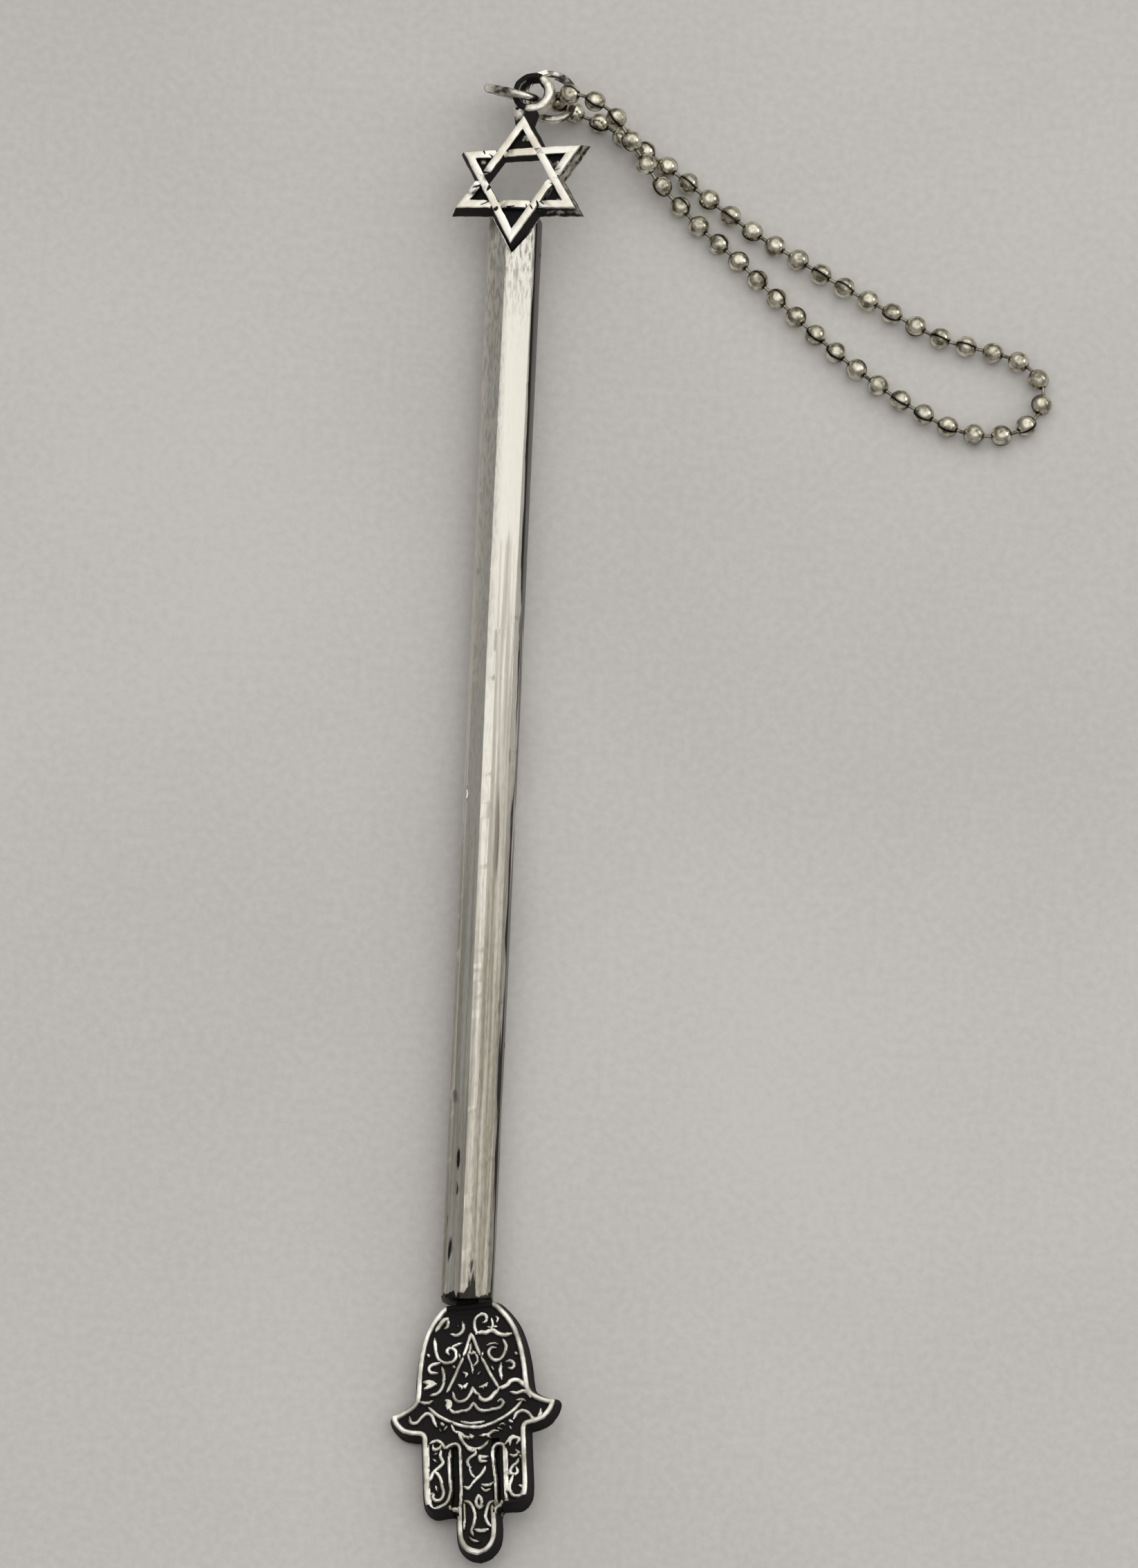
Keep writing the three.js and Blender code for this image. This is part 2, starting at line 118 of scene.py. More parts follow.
# Star finial and its eye, the tips anticlockwise from the top one
STAR_RADIUS = 7.65
STAR_BAND = 0.85
STAR_THICKNESS = 2
STAR_DRAFT = 0.45
STAR_PLACE = Vector((0.97, 3.6, 2))
STAR_TURN = math.radians(-2)
STAR_FLOOR = 1.1
STAR_TIPS = [
    Vector(share) * STAR_RADIUS for share in
    ((0.01, 0.986), (-0.848, 0.415), (-0.903, -0.449), (-0.042, -1.008), (0.887, -0.462), (0.897, 0.517))
]
TRIANGLES = [STAR_TIPS[0::2], STAR_TIPS[1::2]]
EYE_REACH = 10.42
EYE_ASIDE = 0.85
EYE_HOLE = 3.1
EYE_BAND = 0.85
EYE_THICKNESS = 1.9
EYE_THICKENING = 0.3

# Where a bar of one triangle passes under a bar of the other: triangle, its side, the other's side
WEAVE = [(1, 2, 0), (1, 1, 2), (0, 1, 1), (0, 1, 0), (0, 0, 0)]
WEAVE_DIP = 0.26
WEAVE_SLOPE = 0.6
WEAVE_LINE_ASIDE = 0.06
WEAVE_LINE_WIDTH = 0.2

# Dull patches on the star's bars: centre, radius, loss. Light patches in its tips, painted where the floor is
# lit and worn: centre, radius
DULL_PATCHES = [
    ((-4.7, -1.7), 2.6, 0.5), ((-5.1, 1.3), 1.8, 0.35), ((-3.3, 0.3), 1.1, 0.9), ((2.3, -2.9), 1.2, 0.3),
]
LIT_AND_WORN_PATCHES = [((0.35, 5.15), 0.8), ((4.6, -2.5), 0.75), ((4.1, 2.15), 0.75), ((-4.3, 2.3), 0.7)]

# Fine parts of the star: what counts as a long edge, the cuts of bars, walls and floors, and roundings
SHORTEST_BAR = 4
BAR_CUTS = 63
WALL_CUTS = 5
FLOOR_CUTS = 7
FLOOR_UNEVEN = 0.12
BAR_EDGE_ROUND = 0.09
BAR_EDGE_PROFILE = 0.6
EYE_SQUARENESS = 0.6
NECK_TOP, NECK_BOTTOM = 1.7, 0.25
NECK_ROUND = 0.16

# Hand
HAND_LENGTH = 30.6
HAND_WIDTH = 19.5
PALM_WIDTH = 12.6
FINGER_WIDTH = 5.2
HAND_FRONT = 0.75
HAND_BACK = -1.25
HAND_DRAFT = 0.45
HAND_PLACE = Vector((0.4, -SHAFT_LENGTH, 0))
HAND_TURN = math.radians(4.3)
HAND_GAP = 0.35
TONGUE_WIDTH = 2.2
TONGUE_FROM, TONGUE_TO = -1.45, 2.95
TONGUE_TOP, TONGUE_BOTTOM = 0.35, -0.85

# Rings
JUMP_WIRE = 0.9
JUMP_RADIUS = 2.95
JUMP_SLIT = 0.25
JUMP_HEADING = math.radians(-11.7)
JUMP_LEAN = math.radians(17)
JUMP_OFFSET = Vector((-0.42, 0.48, -1.38))
SPLIT_RADIUS = 2.75
SPLIT_WIDTH = 0.7
SPLIT_HEIGHT = 0.55
SPLIT_PITCH = 0.65
SPLIT_TURNS = 1.94
SPLIT_SQUARENESS = 0.5
SPLIT_OFFSET = Vector((4.18, 0.3, -1.24))
SPLIT_TILT = math.radians(6)
SPLIT_SPIN = math.radians(90)

# Ball chain: its route is seen from the split ring's centre, with heights above the table
BEAD_COUNT = 46
BEAD_RADIUS = 1.2
BEAD_WALL = 0.15
BEAD_HOLE = 0.27
BEAD_LIP = 0.06
SEAM_DEGREES = 7
PIN_RADIUS = 0.2
PIN_HEAD = 0.27
PIN_BACK = 0.1
PIN_ROOT = 0.05
PIN_REACH = 0.72
INNER_REACH = math.sqrt((BEAD_RADIUS - BEAD_WALL) ** 2 - BEAD_HOLE ** 2)
HOLE_MIDDLE = (math.sqrt(BEAD_RADIUS ** 2 - BEAD_HOLE ** 2) + INNER_REACH) / 2
CHAIN_ROUTE = [
    (2.2, -0.55, 6.25), (3.55, -0.75, 6.6), (5.05, -1.25, 6.35), (7.45, -2.75, 5.4), (9.25, -5.05, 4.4),
    (11.05, -7.35, 3.25), (12.95, -9.65, 2.15), (15.15, -11.75, 1.4), (17.35, -13.95, 1.2),
    (22.05, -18.05, 1.2), (26.65, -22.45, 1.2), (31.35, -26.75, 1.2), (36.15, -30.65, 1.2),
    (41.45, -34.25, 1.2), (46.95, -37.05, 1.2), (50.15, -37.65, 1.2), (53.25, -37.35, 1.2),
    (55.75, -35.65, 1.2), (56.75, -33.25, 1.2), (56.15, -30.65, 1.2), (54.15, -28.85, 1.2),
    (51.35, -27.85, 1.2), (45.35, -26.35, 1.2), (39.65, -23.55, 1.2), (34.05, -20.65, 1.2),
    (28.75, -17.55, 1.2), (23.45, -14.35, 1.2), (18.45, -10.75, 1.2), (13.65, -7.05, 1.2),
    (9.05, -3.95, 1.2), (6.15, -2.25, 1.2), (3.55, -1.15, 1.25), (2.2, -0.85, 1.65), (1.25, -0.65, 2.6),
    (0.85, -0.5, 3.9), (1.2, -0.45, 5.2),
]
ROUTE_STEPS = 80
SETTLING_ROUNDS = 12

# Places: the table under the shaft's head end, the rolled pointer, and what is fixed to it
shaft_low, shaft_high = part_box("shaft")
AXIS = Vector(((shaft_low.x + shaft_high.x) / 2, shaft_high.y, (shaft_low.z + shaft_high.z) / 2))
TABLE = Matrix.Translation(AXIS) @ Matrix.Scale(MM, 4) @ Matrix.Translation((0, 0, -SHAFT_AXIS_HEIGHT))
POINTER = Matrix.Translation(AXIS) @ Matrix.Scale(MM, 4) @ Matrix.Rotation(-SHAFT_ROLL, 4, "Y")
STAR = POINTER @ Matrix.Translation(STAR_PLACE) @ Matrix.Rotation(STAR_TURN, 4, "Z")
HAND = POINTER @ Matrix.Translation(HAND_PLACE) @ Matrix.Rotation(HAND_TURN, 4, "Z")
EYE = STAR @ Matrix.Translation((EYE_ASIDE, EYE_REACH, STAR_THICKNESS / 2))
EYE_ON_TABLE = TABLE.inverted() @ EYE.translation
EYE_MEAN = (EYE_HOLE + EYE_BAND) / 2
JUMP_CENTRE = EYE_ON_TABLE + Vector((-EYE_MEAN, 0, 0)) + JUMP_OFFSET
JUMP = (
    TABLE @ Matrix.Translation(JUMP_CENTRE)
    @ Matrix.Rotation(JUMP_HEADING, 4, "Z") @ Matrix.Rotation(math.pi / 2 + JUMP_LEAN, 4, "X")
)
SPLIT_CENTRE = JUMP_CENTRE + SPLIT_OFFSET
SPLIT = (
    TABLE @ Matrix.Translation(SPLIT_CENTRE)
    @ Matrix.Rotation(SPLIT_TILT, 4, "Y") @ Matrix.Rotation(SPLIT_SPIN, 4, "Z")
)


# Materials

class Finish:
    """A new finish, metal unless told otherwise, with short ways to add its nodes."""

    def __init__(self, name, roughness):
        self.material = bpy.data.materials.new(name)
        self.material.use_nodes = True
        self.tree = self.material.node_tree
        self.shader = self.tree.nodes["Principled BSDF"]
        self.shader.inputs["Metallic"].default_value = 1
        self.shader.inputs["Roughness"].default_value = roughness
        self.coordinates = self.tree.nodes.new("ShaderNodeTexCoord")

    def link(self, output, target):
        self.tree.links.new(output, target)

    def mapping(self, stretch):
        node = self.tree.nodes.new("ShaderNodeMapping")
        node.inputs["Scale"].default_value = stretch
        self.link(self.coordinates.outputs["Object"], node.inputs["Vector"])
        return node.outputs["Vector"]

    def noise(self, scale, stretch=(1, 1, 1), detail=3, distortion=0):
        node = self.tree.nodes.new("ShaderNodeTexNoise")
        node.inputs["Scale"].default_value = scale
        node.inputs["Detail"].default_value = detail
        node.inputs["Distortion"].default_value = distortion
        self.link(self.mapping(stretch), node.inputs["Vector"])
        return node.outputs["Fac"]

    def spot(self, place, radii, turn=0):
        """One at a place, falling to nothing at its radii across, along and up, with a turn about Z."""
        node = self.tree.nodes.new("ShaderNodeMapping")
        node.vector_type = "TEXTURE"
        node.inputs["Location"].default_value = place
        node.inputs["Rotation"].default_value = (0, 0, turn)
        node.inputs["Scale"].default_value = Vector(radii) * MM
        self.link(self.coordinates.outputs["Object"], node.inputs["Vector"])
        ball = self.tree.nodes.new("ShaderNodeTexGradient")
        ball.gradient_type = "SPHERICAL"
        self.link(node.outputs["Vector"], ball.inputs["Vector"])
        return ball.outputs["Fac"]

    def marks(self, frame_place, spots, sharpness=2.5):
        """Several spots as one value, each with its place in a piece's own frame, its radii and its turn."""
        total = 0
        for place, radii, turn in spots:
            total = self.math("MAXIMUM", self.spot(frame_place @ Vector(place), radii, turn), total)
        return self.math("MULTIPLY", total, sharpness)

    def attribute(self, name):
        node = self.tree.nodes.new("ShaderNodeAttribute")
        node.attribute_name = name
        return node.outputs["Fac"]

    def ramp(self, source, *stops):
        node = self.tree.nodes.new("ShaderNodeValToRGB")
        elements = node.color_ramp.elements
        while len(elements) < len(stops):
            elements.new(1)
        for element, (position, colour) in zip(elements, stops):
            element.position = position
            element.color = (*colour, 1)
        self.link(source, node.inputs["Fac"])
        return node.outputs["Color"]

    def range(self, source, low, high, new_low, new_high):
        node = self.tree.nodes.new("ShaderNodeMapRange")
        for name, value in (("From Min", low), ("From Max", high), ("To Min", new_low), ("To Max", new_high)):
            node.inputs[name].default_value = value
        self.link(source, node.inputs["Value"])
        return node.outputs["Result"]

    def math(self, operation, first, second):
        node = self.tree.nodes.new("ShaderNodeMath")
        node.operation = operation
        node.use_clamp = True
        for socket, value in zip(node.inputs, (first, second)):
            if isinstance(value, (int, float)):
                socket.default_value = value
            else:
                self.link(value, socket)
        return node.outputs["Value"]

    def mix(self, share, first, second):
        node = self.tree.nodes.new("ShaderNodeMix")
        node.data_type = "RGBA"
        sockets = [socket for socket in node.inputs if socket.type == "RGBA"]
        self.link(share, node.inputs["Factor"])
        for socket, value in zip(sockets, (first, second)):
            if isinstance(value, tuple):
                socket.default_value = (*value, 1)
            else:
                self.link(value, socket)
        return next(socket for socket in node.outputs if socket.type == "RGBA")

    def bump(self, height, strength, distance):
        node = self.tree.nodes.new("ShaderNodeBump")
        node.inputs["Strength"].default_value = strength
        node.inputs["Distance"].default_value = distance
        self.link(height, node.inputs["Height"])
        self.link(node.outputs["Normal"], self.shader.inputs["Normal"])

    def colour(self, output):
        self.link(output, self.shader.inputs["Base Color"])

    def roughness(self, output):
        self.link(output, self.shader.inputs["Roughness"])

    def metallic(self, output):
        self.link(output, self.shader.inputs["Metallic"])


OXIDE = (0.010, 0.009, 0.009)
TARNISH_AND_SHADE = (0.035, 0.031, 0.027)
BRIGHT_SILVER = (0.95, 0.93, 0.86)
WARM_SILVER = (0.74, 0.69, 0.57)
GREY_SILVER = (0.54, 0.515, 0.455)
DULL_SILVER = (0.27, 0.25, 0.195)
DIM_SILVER = (0.38, 0.36, 0.30)
SOILED_WIRE = (0.07, 0.06, 0.055)
DULL_WIRE = (0.13, 0.12, 0.11)
DULL_NICKEL = (0.2, 0.185, 0.14)
WARM_NICKEL = (0.5, 0.47, 0.37)
BRIGHT_NICKEL = (0.8, 0.76, 0.63)
SEAM_DIRT_AND_SHADE = (0.03, 0.026, 0.018)
TABLE_DARK = (0.59, 0.571, 0.554)
TABLE_LIGHT = (0.67, 0.65, 0.632)

# Marks, each with its place, radii and turn: two scratches and the pits of the shaft, and the star's stains
SHAFT_SCRATCHES = [((1.6, -74.5, 2.35), (0.3, 6.5, 0.7), 0.015), ((-2.15, -2.1, 2.0), (0.45, 1.3, 0.8), 0.1)]
SHAFT_PITS = [
    ((-1.1, -113, 2.5), (0.28, 1.6, 0.7), 0), ((-1.2, -116.5, 2.4), (0.3, 1.1, 0.7), 0.1),
    ((-1.6, -124, 2.3), (0.35, 2.2, 0.8), 0), ((-1.9, -105.5, 2.2), (0.4, 1.1, 0.8), 0.2),
    ((-2.3, -120, 1.9), (0.3, 1.2, 0.6), 0), ((0.9, -126, 2.6), (0.4, 1.3, 0.7), -0.2),
]
STAR_MARKS = [
    ((-2.24, -3.64, 1.9), (0.5, 0.4, 0.5), 0.7), ((-0.65, -3.38, 1.95), (0.85, 0.17, 0.4), 0.06),
    ((-0.83, 8.55, 1.6), (0.3, 0.3, 0.5), 0), ((-3.0, -0.6, 1.9), (0.3, 1.2, 0.5), -0.5),
    ((2.5, -3.1, 1.95), (0.15, 0.5, 0.4), 0.3), ((1.8, -3.5, 1.95), (0.13, 0.45, 0.4), 0.5),
    ((-4.2, 3.25, 1.95), (0.13, 0.6, 0.4), 0.4), ((4.35, 0.0, 1.95), (0.55, 0.1, 0.4), -0.4),
]

# The jump ring is dull where it lies furthest from the eye
JUMP_DULL_END = [((-2.95, 0, 0), (1.5, 1.5, 1.5), 0)]


def polished_shaft_painted_light():
    finish = Finish("polished_silver_painted_light", 0.25)
    cloudy = finish.range(finish.noise(70, (1, 0.2, 1), 4), 0.3, 0.7, 0, 0.2)
    grain = finish.noise(2300, (1, 0.018, 1), 5, 0.2)
    uneven = finish.math("ADD", cloudy, finish.range(grain, 0.35, 0.65, 0, 0.42))
    # The polish attribute is partly real polish and partly painted highlight and sheen
    level = finish.math("SUBTRACT", finish.math("ADD", finish.attribute("polish_and_sheen"), uneven), 0.31)
    tone = finish.ramp(level, (0, DULL_SILVER), (0.5, GREY_SILVER), (0.92, BRIGHT_SILVER))
    streaks = finish.range(finish.noise(1300, (1, 0.06, 1), 5, 0.5), 0.35, 0.65, -0.4, 0.25)
    # Tarnish with painted shade on the right side, under the star and on the end face
    soiled_and_shaded = finish.math("ADD", finish.attribute("tarnish_and_shade"), streaks)
    specks = finish.range(finish.noise(3800, (1, 0.2, 1), 3), 0.46, 0.62, 0, 0.66)
    patchy = finish.range(finish.noise(900, (1, 0.2, 1), 5, 0.5), 0.42, 0.55, 0, 1)
    scratched = finish.range(grain, 0.35, 0.6, 0.3, 0.75)
    shade = finish.range(soiled_and_shaded, 0.42, 0.58, 0, 1)
    for strength, where in (
        (specks, finish.attribute("pitted")),
        (scratched, finish.marks(POINTER, SHAFT_SCRATCHES)),
        (patchy, finish.marks(POINTER, SHAFT_PITS)),
    ):
        shade = finish.math("MAXIMUM", shade, finish.math("MULTIPLY", strength, where))
    finish.colour(finish.mix(shade, tone, TARNISH_AND_SHADE))
    finish.roughness(finish.range(level, 0, 1, 0.42, 0.2))
    finish.bump(finish.noise(2600, (1, 0.01, 1), 2), 0.12, 0.00001)
    return finish.material


def cast_relief(name, dull, bright, spots, frame_place):
    """Cast silver: bare metal where it is raised and worn and where painted light lies, black oxide in the
    hollows and under painted shade.
    """
    finish = Finish(name, 0.3)
    finish.shader.inputs["Specular IOR Level"].default_value = 0.15
    grime = finish.noise(1500, detail=4)
    hollows = finish.marks(frame_place, spots, 2)
    hollows = finish.math("MULTIPLY", hollows, finish.range(grime, 0.35, 0.6, 0.2, 1))
    raised_and_lit = finish.math("SUBTRACT", finish.attribute("raised_and_lit"), hollows)
    uneven = finish.range(grime, 0.2, 0.8, -0.2, 0.2)
    worn_and_lit = finish.range(finish.math("ADD", raised_and_lit, uneven), 0.42, 0.72, 0, 1)
    tone = finish.ramp(finish.noise(420, detail=4), (0.38, dull), (0.64, bright))
    finish.colour(finish.mix(worn_and_lit, OXIDE, tone))
    finish.roughness(finish.range(worn_and_lit, 0, 1, 0.6, 0.28))
    finish.metallic(worn_and_lit)
    finish.bump(grime, 0.4, 0.00005)
    return finish.material


def bent_wire_silver():
    finish = Finish("ring_silver_wire", 0.3)
    patches = finish.noise(700, detail=3)
    tone = finish.ramp(patches, (0.38, SOILED_WIRE), (0.5, GREY_SILVER), (0.68, BRIGHT_SILVER))
    finish.colour(finish.mix(finish.marks(JUMP, JUMP_DULL_END, 1.5), tone, DULL_WIRE))
    finish.roughness(finish.range(patches, 0.3, 0.7, 0.42, 0.22))
    return finish.material


def chain_nickel():
    finish = Finish("warm_nickel_beads", 0.2)
    patches = finish.noise(1100, detail=3)
    tone = finish.ramp(patches, (0.36, DULL_NICKEL), (0.48, WARM_NICKEL), (0.64, BRIGHT_NICKEL))
    finish.colour(finish.mix(finish.attribute("dirt_and_shade"), tone, SEAM_DIRT_AND_SHADE))
    finish.roughness(finish.range(patches, 0.3, 0.7, 0.26, 0.13))
    return finish.material


def pale_table():
    finish = Finish("pale_table", 0.8)
    finish.shader.inputs["Metallic"].default_value = 0
    fine = finish.range(finish.noise(1100), 0.3, 0.7, 0, 0.3)
    mottle = finish.math("ADD", finish.noise(14, detail=6), fine)
    finish.colour(finish.ramp(mottle, (0.45, TABLE_DARK), (0.85, TABLE_LIGHT)))
    return finish.material


# Building and placing

def settle(name, bm, place, material, body, node, crease=35):
    """Ends a piece: moves it to its place in metres, shades it, and joins it to its body."""
    bmesh.ops.transform(bm, matrix=place, verts=bm.verts)
    bmesh.ops.recalc_face_normals(bm, faces=bm.faces)
    limit = math.radians(crease)
    for face in bm.faces:
        face.smooth = True
    for edge in bm.edges:
        edge.smooth = len(edge.link_faces) == 2 and edge.calc_face_angle(0) < limit
    mesh = bpy.data.meshes.new(name)
    bm.to_mesh(mesh)
    bm.free()
    mesh.materials.append(material)
    piece = bpy.data.objects.new(name, mesh)
    bpy.context.collection.objects.link(piece)
    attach(piece, body)
    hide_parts(node)


def value_layer(bm, name):
    return bm.verts.layers.float.new(name)


def worn_edge(point, scale, amount):
    """Small uneven shift of a point, as on a cast or worn edge."""
    return noise.noise_vector(point * scale) * amount


def extruded(bm, faces, move):
    """Extrudes faces by a vector and returns the new vertices."""
    made = bmesh.ops.extrude_face_region(bm, geom=faces, use_keep_orig=True)
    moved = [item for item in made["geom"] if isinstance(item, bmesh.types.BMVert)]
    bmesh.ops.translate(bm, verts=moved, vec=move)
    return moved


def soften(bm, edges, offset, profile=0.5):
    """Rounds edges with a small bevel."""
    bmesh.ops.bevel(bm, geom=edges, offset=offset, offset_type="OFFSET", affect="EDGES", segments=2,
                    profile=profile, material=-1)


def rounded_section(steps, squareness, width, height):
    """Points round a section: an ellipse at a squareness of 1, nearer to a rectangle below it."""
    points = []
    for step in range(steps):
        angle = step * math.tau / steps
        across = math.copysign(abs(math.cos(angle)) ** squareness, math.cos(angle)) * width / 2
        up = math.copysign(abs(math.sin(angle)) ** squareness, math.sin(angle)) * height / 2
        points.append((across, up))
    return points


def spun(bm, profile, radius, angle, steps, rise=0, closed=True):
    """Spins a profile round the Z axis, at a radius, rising at each step."""
    verts = [bm.verts.new((radius + across, 0, up)) for across, up in profile]
    following = verts[1:] + verts[:1] if closed else verts[1:]
    edges = [bm.edges.new(pair) for pair in zip(verts, following)]
    bmesh.ops.spin(bm, geom=verts + edges, cent=(0, 0, 0), axis=(0, 0, 1), angle=angle, steps=steps,
                   dvec=(0, 0, rise), use_merge=angle == math.tau, use_duplicate=False)


def take_in(bm, part):
    """Adds a finished part to a piece's mesh."""
    spare = bpy.data.meshes.new("part")
    part.to_mesh(spare)
    part.free()
    bm.from_mesh(spare)
    bpy.data.meshes.remove(spare)


def slab(corners, top, bottom):
    """A flat block over corners seen from above, between two heights, and its layer of raised values, which
    also carry painted light.
    """
    part = bmesh.new()
    raised_and_lit = value_layer(part, "raised_and_lit")
    face = part.faces.new([part.verts.new((x, y, top)) for x, y in corners])
    extruded(part, [face], (0, 0, bottom - top))
    bmesh.ops.recalc_face_normals(part, faces=part.faces)
    return part, raised_and_lit


def offset_corners(corners, distance):
    """Corners of a triangle, anticlockwise, whose sides have moved outwards (inwards if negative)."""
    moved = []
    for before, corner, after in zip(corners[-1:] + corners[:-1], corners, corners[1:] + corners[:1]):
        entering, leaving = (corner - before).normalized(), (after - corner).normalized()
        mitre = Vector((entering.y + leaving.y, -entering.x - leaving.x))
        moved.append(corner + mitre * (2 * distance / mitre.length_squared))
    return moved


def cut_away(bm, cutter, place):
    """Cuts one closed shape out of another."""
    objects = []
    bmesh.ops.transform(cutter, matrix=place, verts=cutter.verts)
    for shape in (bm, cutter):
        bmesh.ops.recalc_face_normals(shape, faces=shape.faces)
        mesh = bpy.data.meshes.new("blank")
        shape.to_mesh(mesh)
        objects.append(bpy.data.objects.new("blank", mesh))
        bpy.context.collection.objects.link(objects[-1])
    blank, tool = objects
    boolean = blank.modifiers.new("seat", "BOOLEAN")
    boolean.operation = "DIFFERENCE"
    boolean.object = tool
    bpy.context.view_layer.update()
    finished = bpy.data.meshes.new_from_object(blank.evaluated_get(bpy.context.evaluated_depsgraph_get()))
    bm.clear()
    bm.from_mesh(finished)
    cutter.free()
    for mesh in (finished, blank.data, tool.data):
        bpy.data.meshes.remove(mesh)


# Shaft

def seat_cutter():
    """Block over the star's back outline: what it covers of the shaft's head is cut away under the star."""
    grown = STAR_DRAFT + SEAT_CLEARANCE
    corner, right, left = offset_corners([STAR_TIPS[3], STAR_TIPS[5], STAR_TIPS[1]], grown)
    shoulder = min(point.y for point in offset_corners(TRIANGLES[0], grown))
    feet = [
        corner + (side - corner) * ((shoulder - corner.y) / (side.y - corner.y))
        for side in (left, right)
    ]
    reach = STAR_RADIUS + STAR_BAND
    corners = [
        (-reach, reach), (-reach, shoulder), feet[0], corner, feet[1], (reach, shoulder), (reach, reach),
    ]
    cutter, _ = slab(corners, STAR_THICKNESS * 2, -SEAT_CLEARANCE)
    return cutter


def twist_at(along):
    """The shaft's facets turn a little from its head to its hand end."""
    return SHAFT_TWIST * (TWIST_START - along) / SHAFT_LENGTH


def ridge_share(ridge, along):
    """The three upper ridges are filed narrower towards the head."""
    if abs(ridge) > 1:
        return 1
    return NARROW_RIDGE + (1 - NARROW_RIDGE) * min(1, -along / NARROW_LENGTH)


def ridge_half_angle(ridge, along):
    """Half the angle that a ridge's flat covers, seen from the axis."""
    return math.degrees(math.atan(RIDGE_FLAT / 2 * ridge_share(ridge, along) / SHARP_RIDGE))


def ridge_wear(ridge, side, along):
    """How far one side of a ridge is worn down: shallow waves and, here and there, a nick."""
    wear = noise.noise(Vector((ridge * 3, along * 0.3, 9)))
    nick = noise.noise(Vector((ridge * 5 + side * 2, along * 0.9, 3)))
    return WEAR_DEPTH * max(0, wear) + NICK_DEPTH * max(0, nick - NICK_LEVEL)


def along_shaft(values, along):
    return np.interp(-along, *values)


def shaft_polish_and_sheen(heading, along):
    """Polish of a point, with painted sheen, from its heading (degrees to the right of the top ridge) and its
    place along.
    """
    ridge = round(heading / RIDGE_STEP)
    if abs(heading - ridge * RIDGE_STEP) < ridge_half_angle(ridge, along):
        return along_shaft(RIDGE_POLISH_AND_SHEEN, along)
    if 0 < heading < RIDGE_STEP:
        return along_shaft(BRIGHT_FACET_POLISH_AND_SHEEN, along)
    return along_shaft(OTHER_FACET_POLISH_AND_SHEEN, along)


def shaft_tarnish_and_shade(heading, along):
    """Tarnish of a point, partly painted shade: the right side, the first millimetres under the star and the
    end face are darkened as shade and tarnish, and the top of the hand end is tarnished.
    """
    # The end face is painted dark, as shade and tarnish
    if along < EDGE_ROUND - SHAFT_LENGTH:
        return 1
    bare_share = along_shaft(RIGHT_RIDGE_BARE, along)
    right_from = RIDGE_STEP - ridge_half_angle(1, along) * (1 - bare_share)
    right_side = along_shaft(RIGHT_SIDE_TARNISH_AND_SHADE, along) if right_from < heading < RIGHT_SIDE_END else 0
    hand_end = along_shaft(HAND_END_TARNISH, along) if HAND_END_FROM < heading < HAND_END_TO else 0
    return max(right_side, hand_end, along_shaft(HEAD_TARNISH_AND_SHADE, along))


def shaft_pitting(heading, along):
    """How pitted a point is: most of all near the star and on the left, little where it was filed."""
    if abs(heading) > RIDGE_STEP:
        return OUTER_PITS
    if heading < FILED_FROM:
        return along_shaft(LEFT_PITS, along)
    return along_shaft(FILED_PITS, along)


def shaft_blank():
    """Six-sided bar with a flat on each ridge, in fine steps along its length."""
    bm = bmesh.new()
    bmesh.ops.create_circle(bm, cap_ends=True, radius=SHARP_RIDGE, segments=6)
    bmesh.ops.bevel(bm, geom=bm.verts[:], offset=RIDGE_FLAT / math.sqrt(3), offset_type="OFFSET",
                    affect="VERTICES", segments=1, profile=0.5, material=-1)
    extruded(bm, bm.faces[:], (0, 0, SHAFT_LENGTH))
    bmesh.ops.rotate(bm, verts=bm.verts, matrix=Matrix.Rotation(math.pi / 2, 3, "X"))
    long_edges = [edge for edge in bm.edges if abs(edge.verts[0].co.y - edge.verts[1].co.y) > 1]
    bmesh.ops.subdivide_edges(bm, edges=long_edges, cuts=SHAFT_CUTS, use_grid_fill=True)
    return bm


def shape_ridges(bm):
    """Narrows, wears and twists the bar's ridges, and slants its foot over the hand."""
    for vert in bm.verts:
        across, along, up = vert.co
        heading = math.degrees(math.atan2(across, up))
        ridge = round(heading / RIDGE_STEP)
        side = math.copysign(1, heading - ridge * RIDGE_STEP)
        half_flat = RIDGE_FLAT / 2 * ridge_share(ridge, along)
        cut = ridge_wear(ridge, side, along)
        angle = math.radians(ridge * RIDGE_STEP)
        out = SHARP_RIDGE - half_flat / math.tan(math.pi / 3) - cut
        beside = side * (half_flat + cut * 0.5)
        vert.co.x = out * math.sin(angle) + beside * math.cos(angle)
        vert.co.z = out * math.cos(angle) - beside * math.sin(angle)
        if along < EDGE_ROUND - SHAFT_LENGTH:
            vert.co.y -= max(0, vert.co.z - HAND_FRONT) * END_SLANT
        vert.co = Matrix.Rotation(twist_at(along), 3, "Y") @ vert.co


def make_shaft(material):
    bm = shaft_blank()
    shape_ridges(bm)
    soften(bm, [edge for edge in bm.edges if edge.calc_face_angle(0) > math.radians(15)], EDGE_ROUND)
    cut_away(bm, seat_cutter(), POINTER.inverted() @ STAR)
    polish_and_sheen = value_layer(bm, "polish_and_sheen")
    tarnish_and_shade = value_layer(bm, "tarnish_and_shade")
    pitted = value_layer(bm, "pitted")
    for vert in bm.verts:
        straight = Matrix.Rotation(-twist_at(vert.co.y), 3, "Y") @ vert.co
        heading = math.degrees(math.atan2(straight.x, straight.z))
        vert[polish_and_sheen] = shaft_polish_and_sheen(heading, straight.y)
        vert[tarnish_and_shade] = shaft_tarnish_and_shade(heading, straight.y)
        vert[pitted] = shaft_pitting(heading, straight.y)
    settle("shaft_bar", bm, POINTER, material, "pointer", "shaft", crease=12)


# Star and its eye

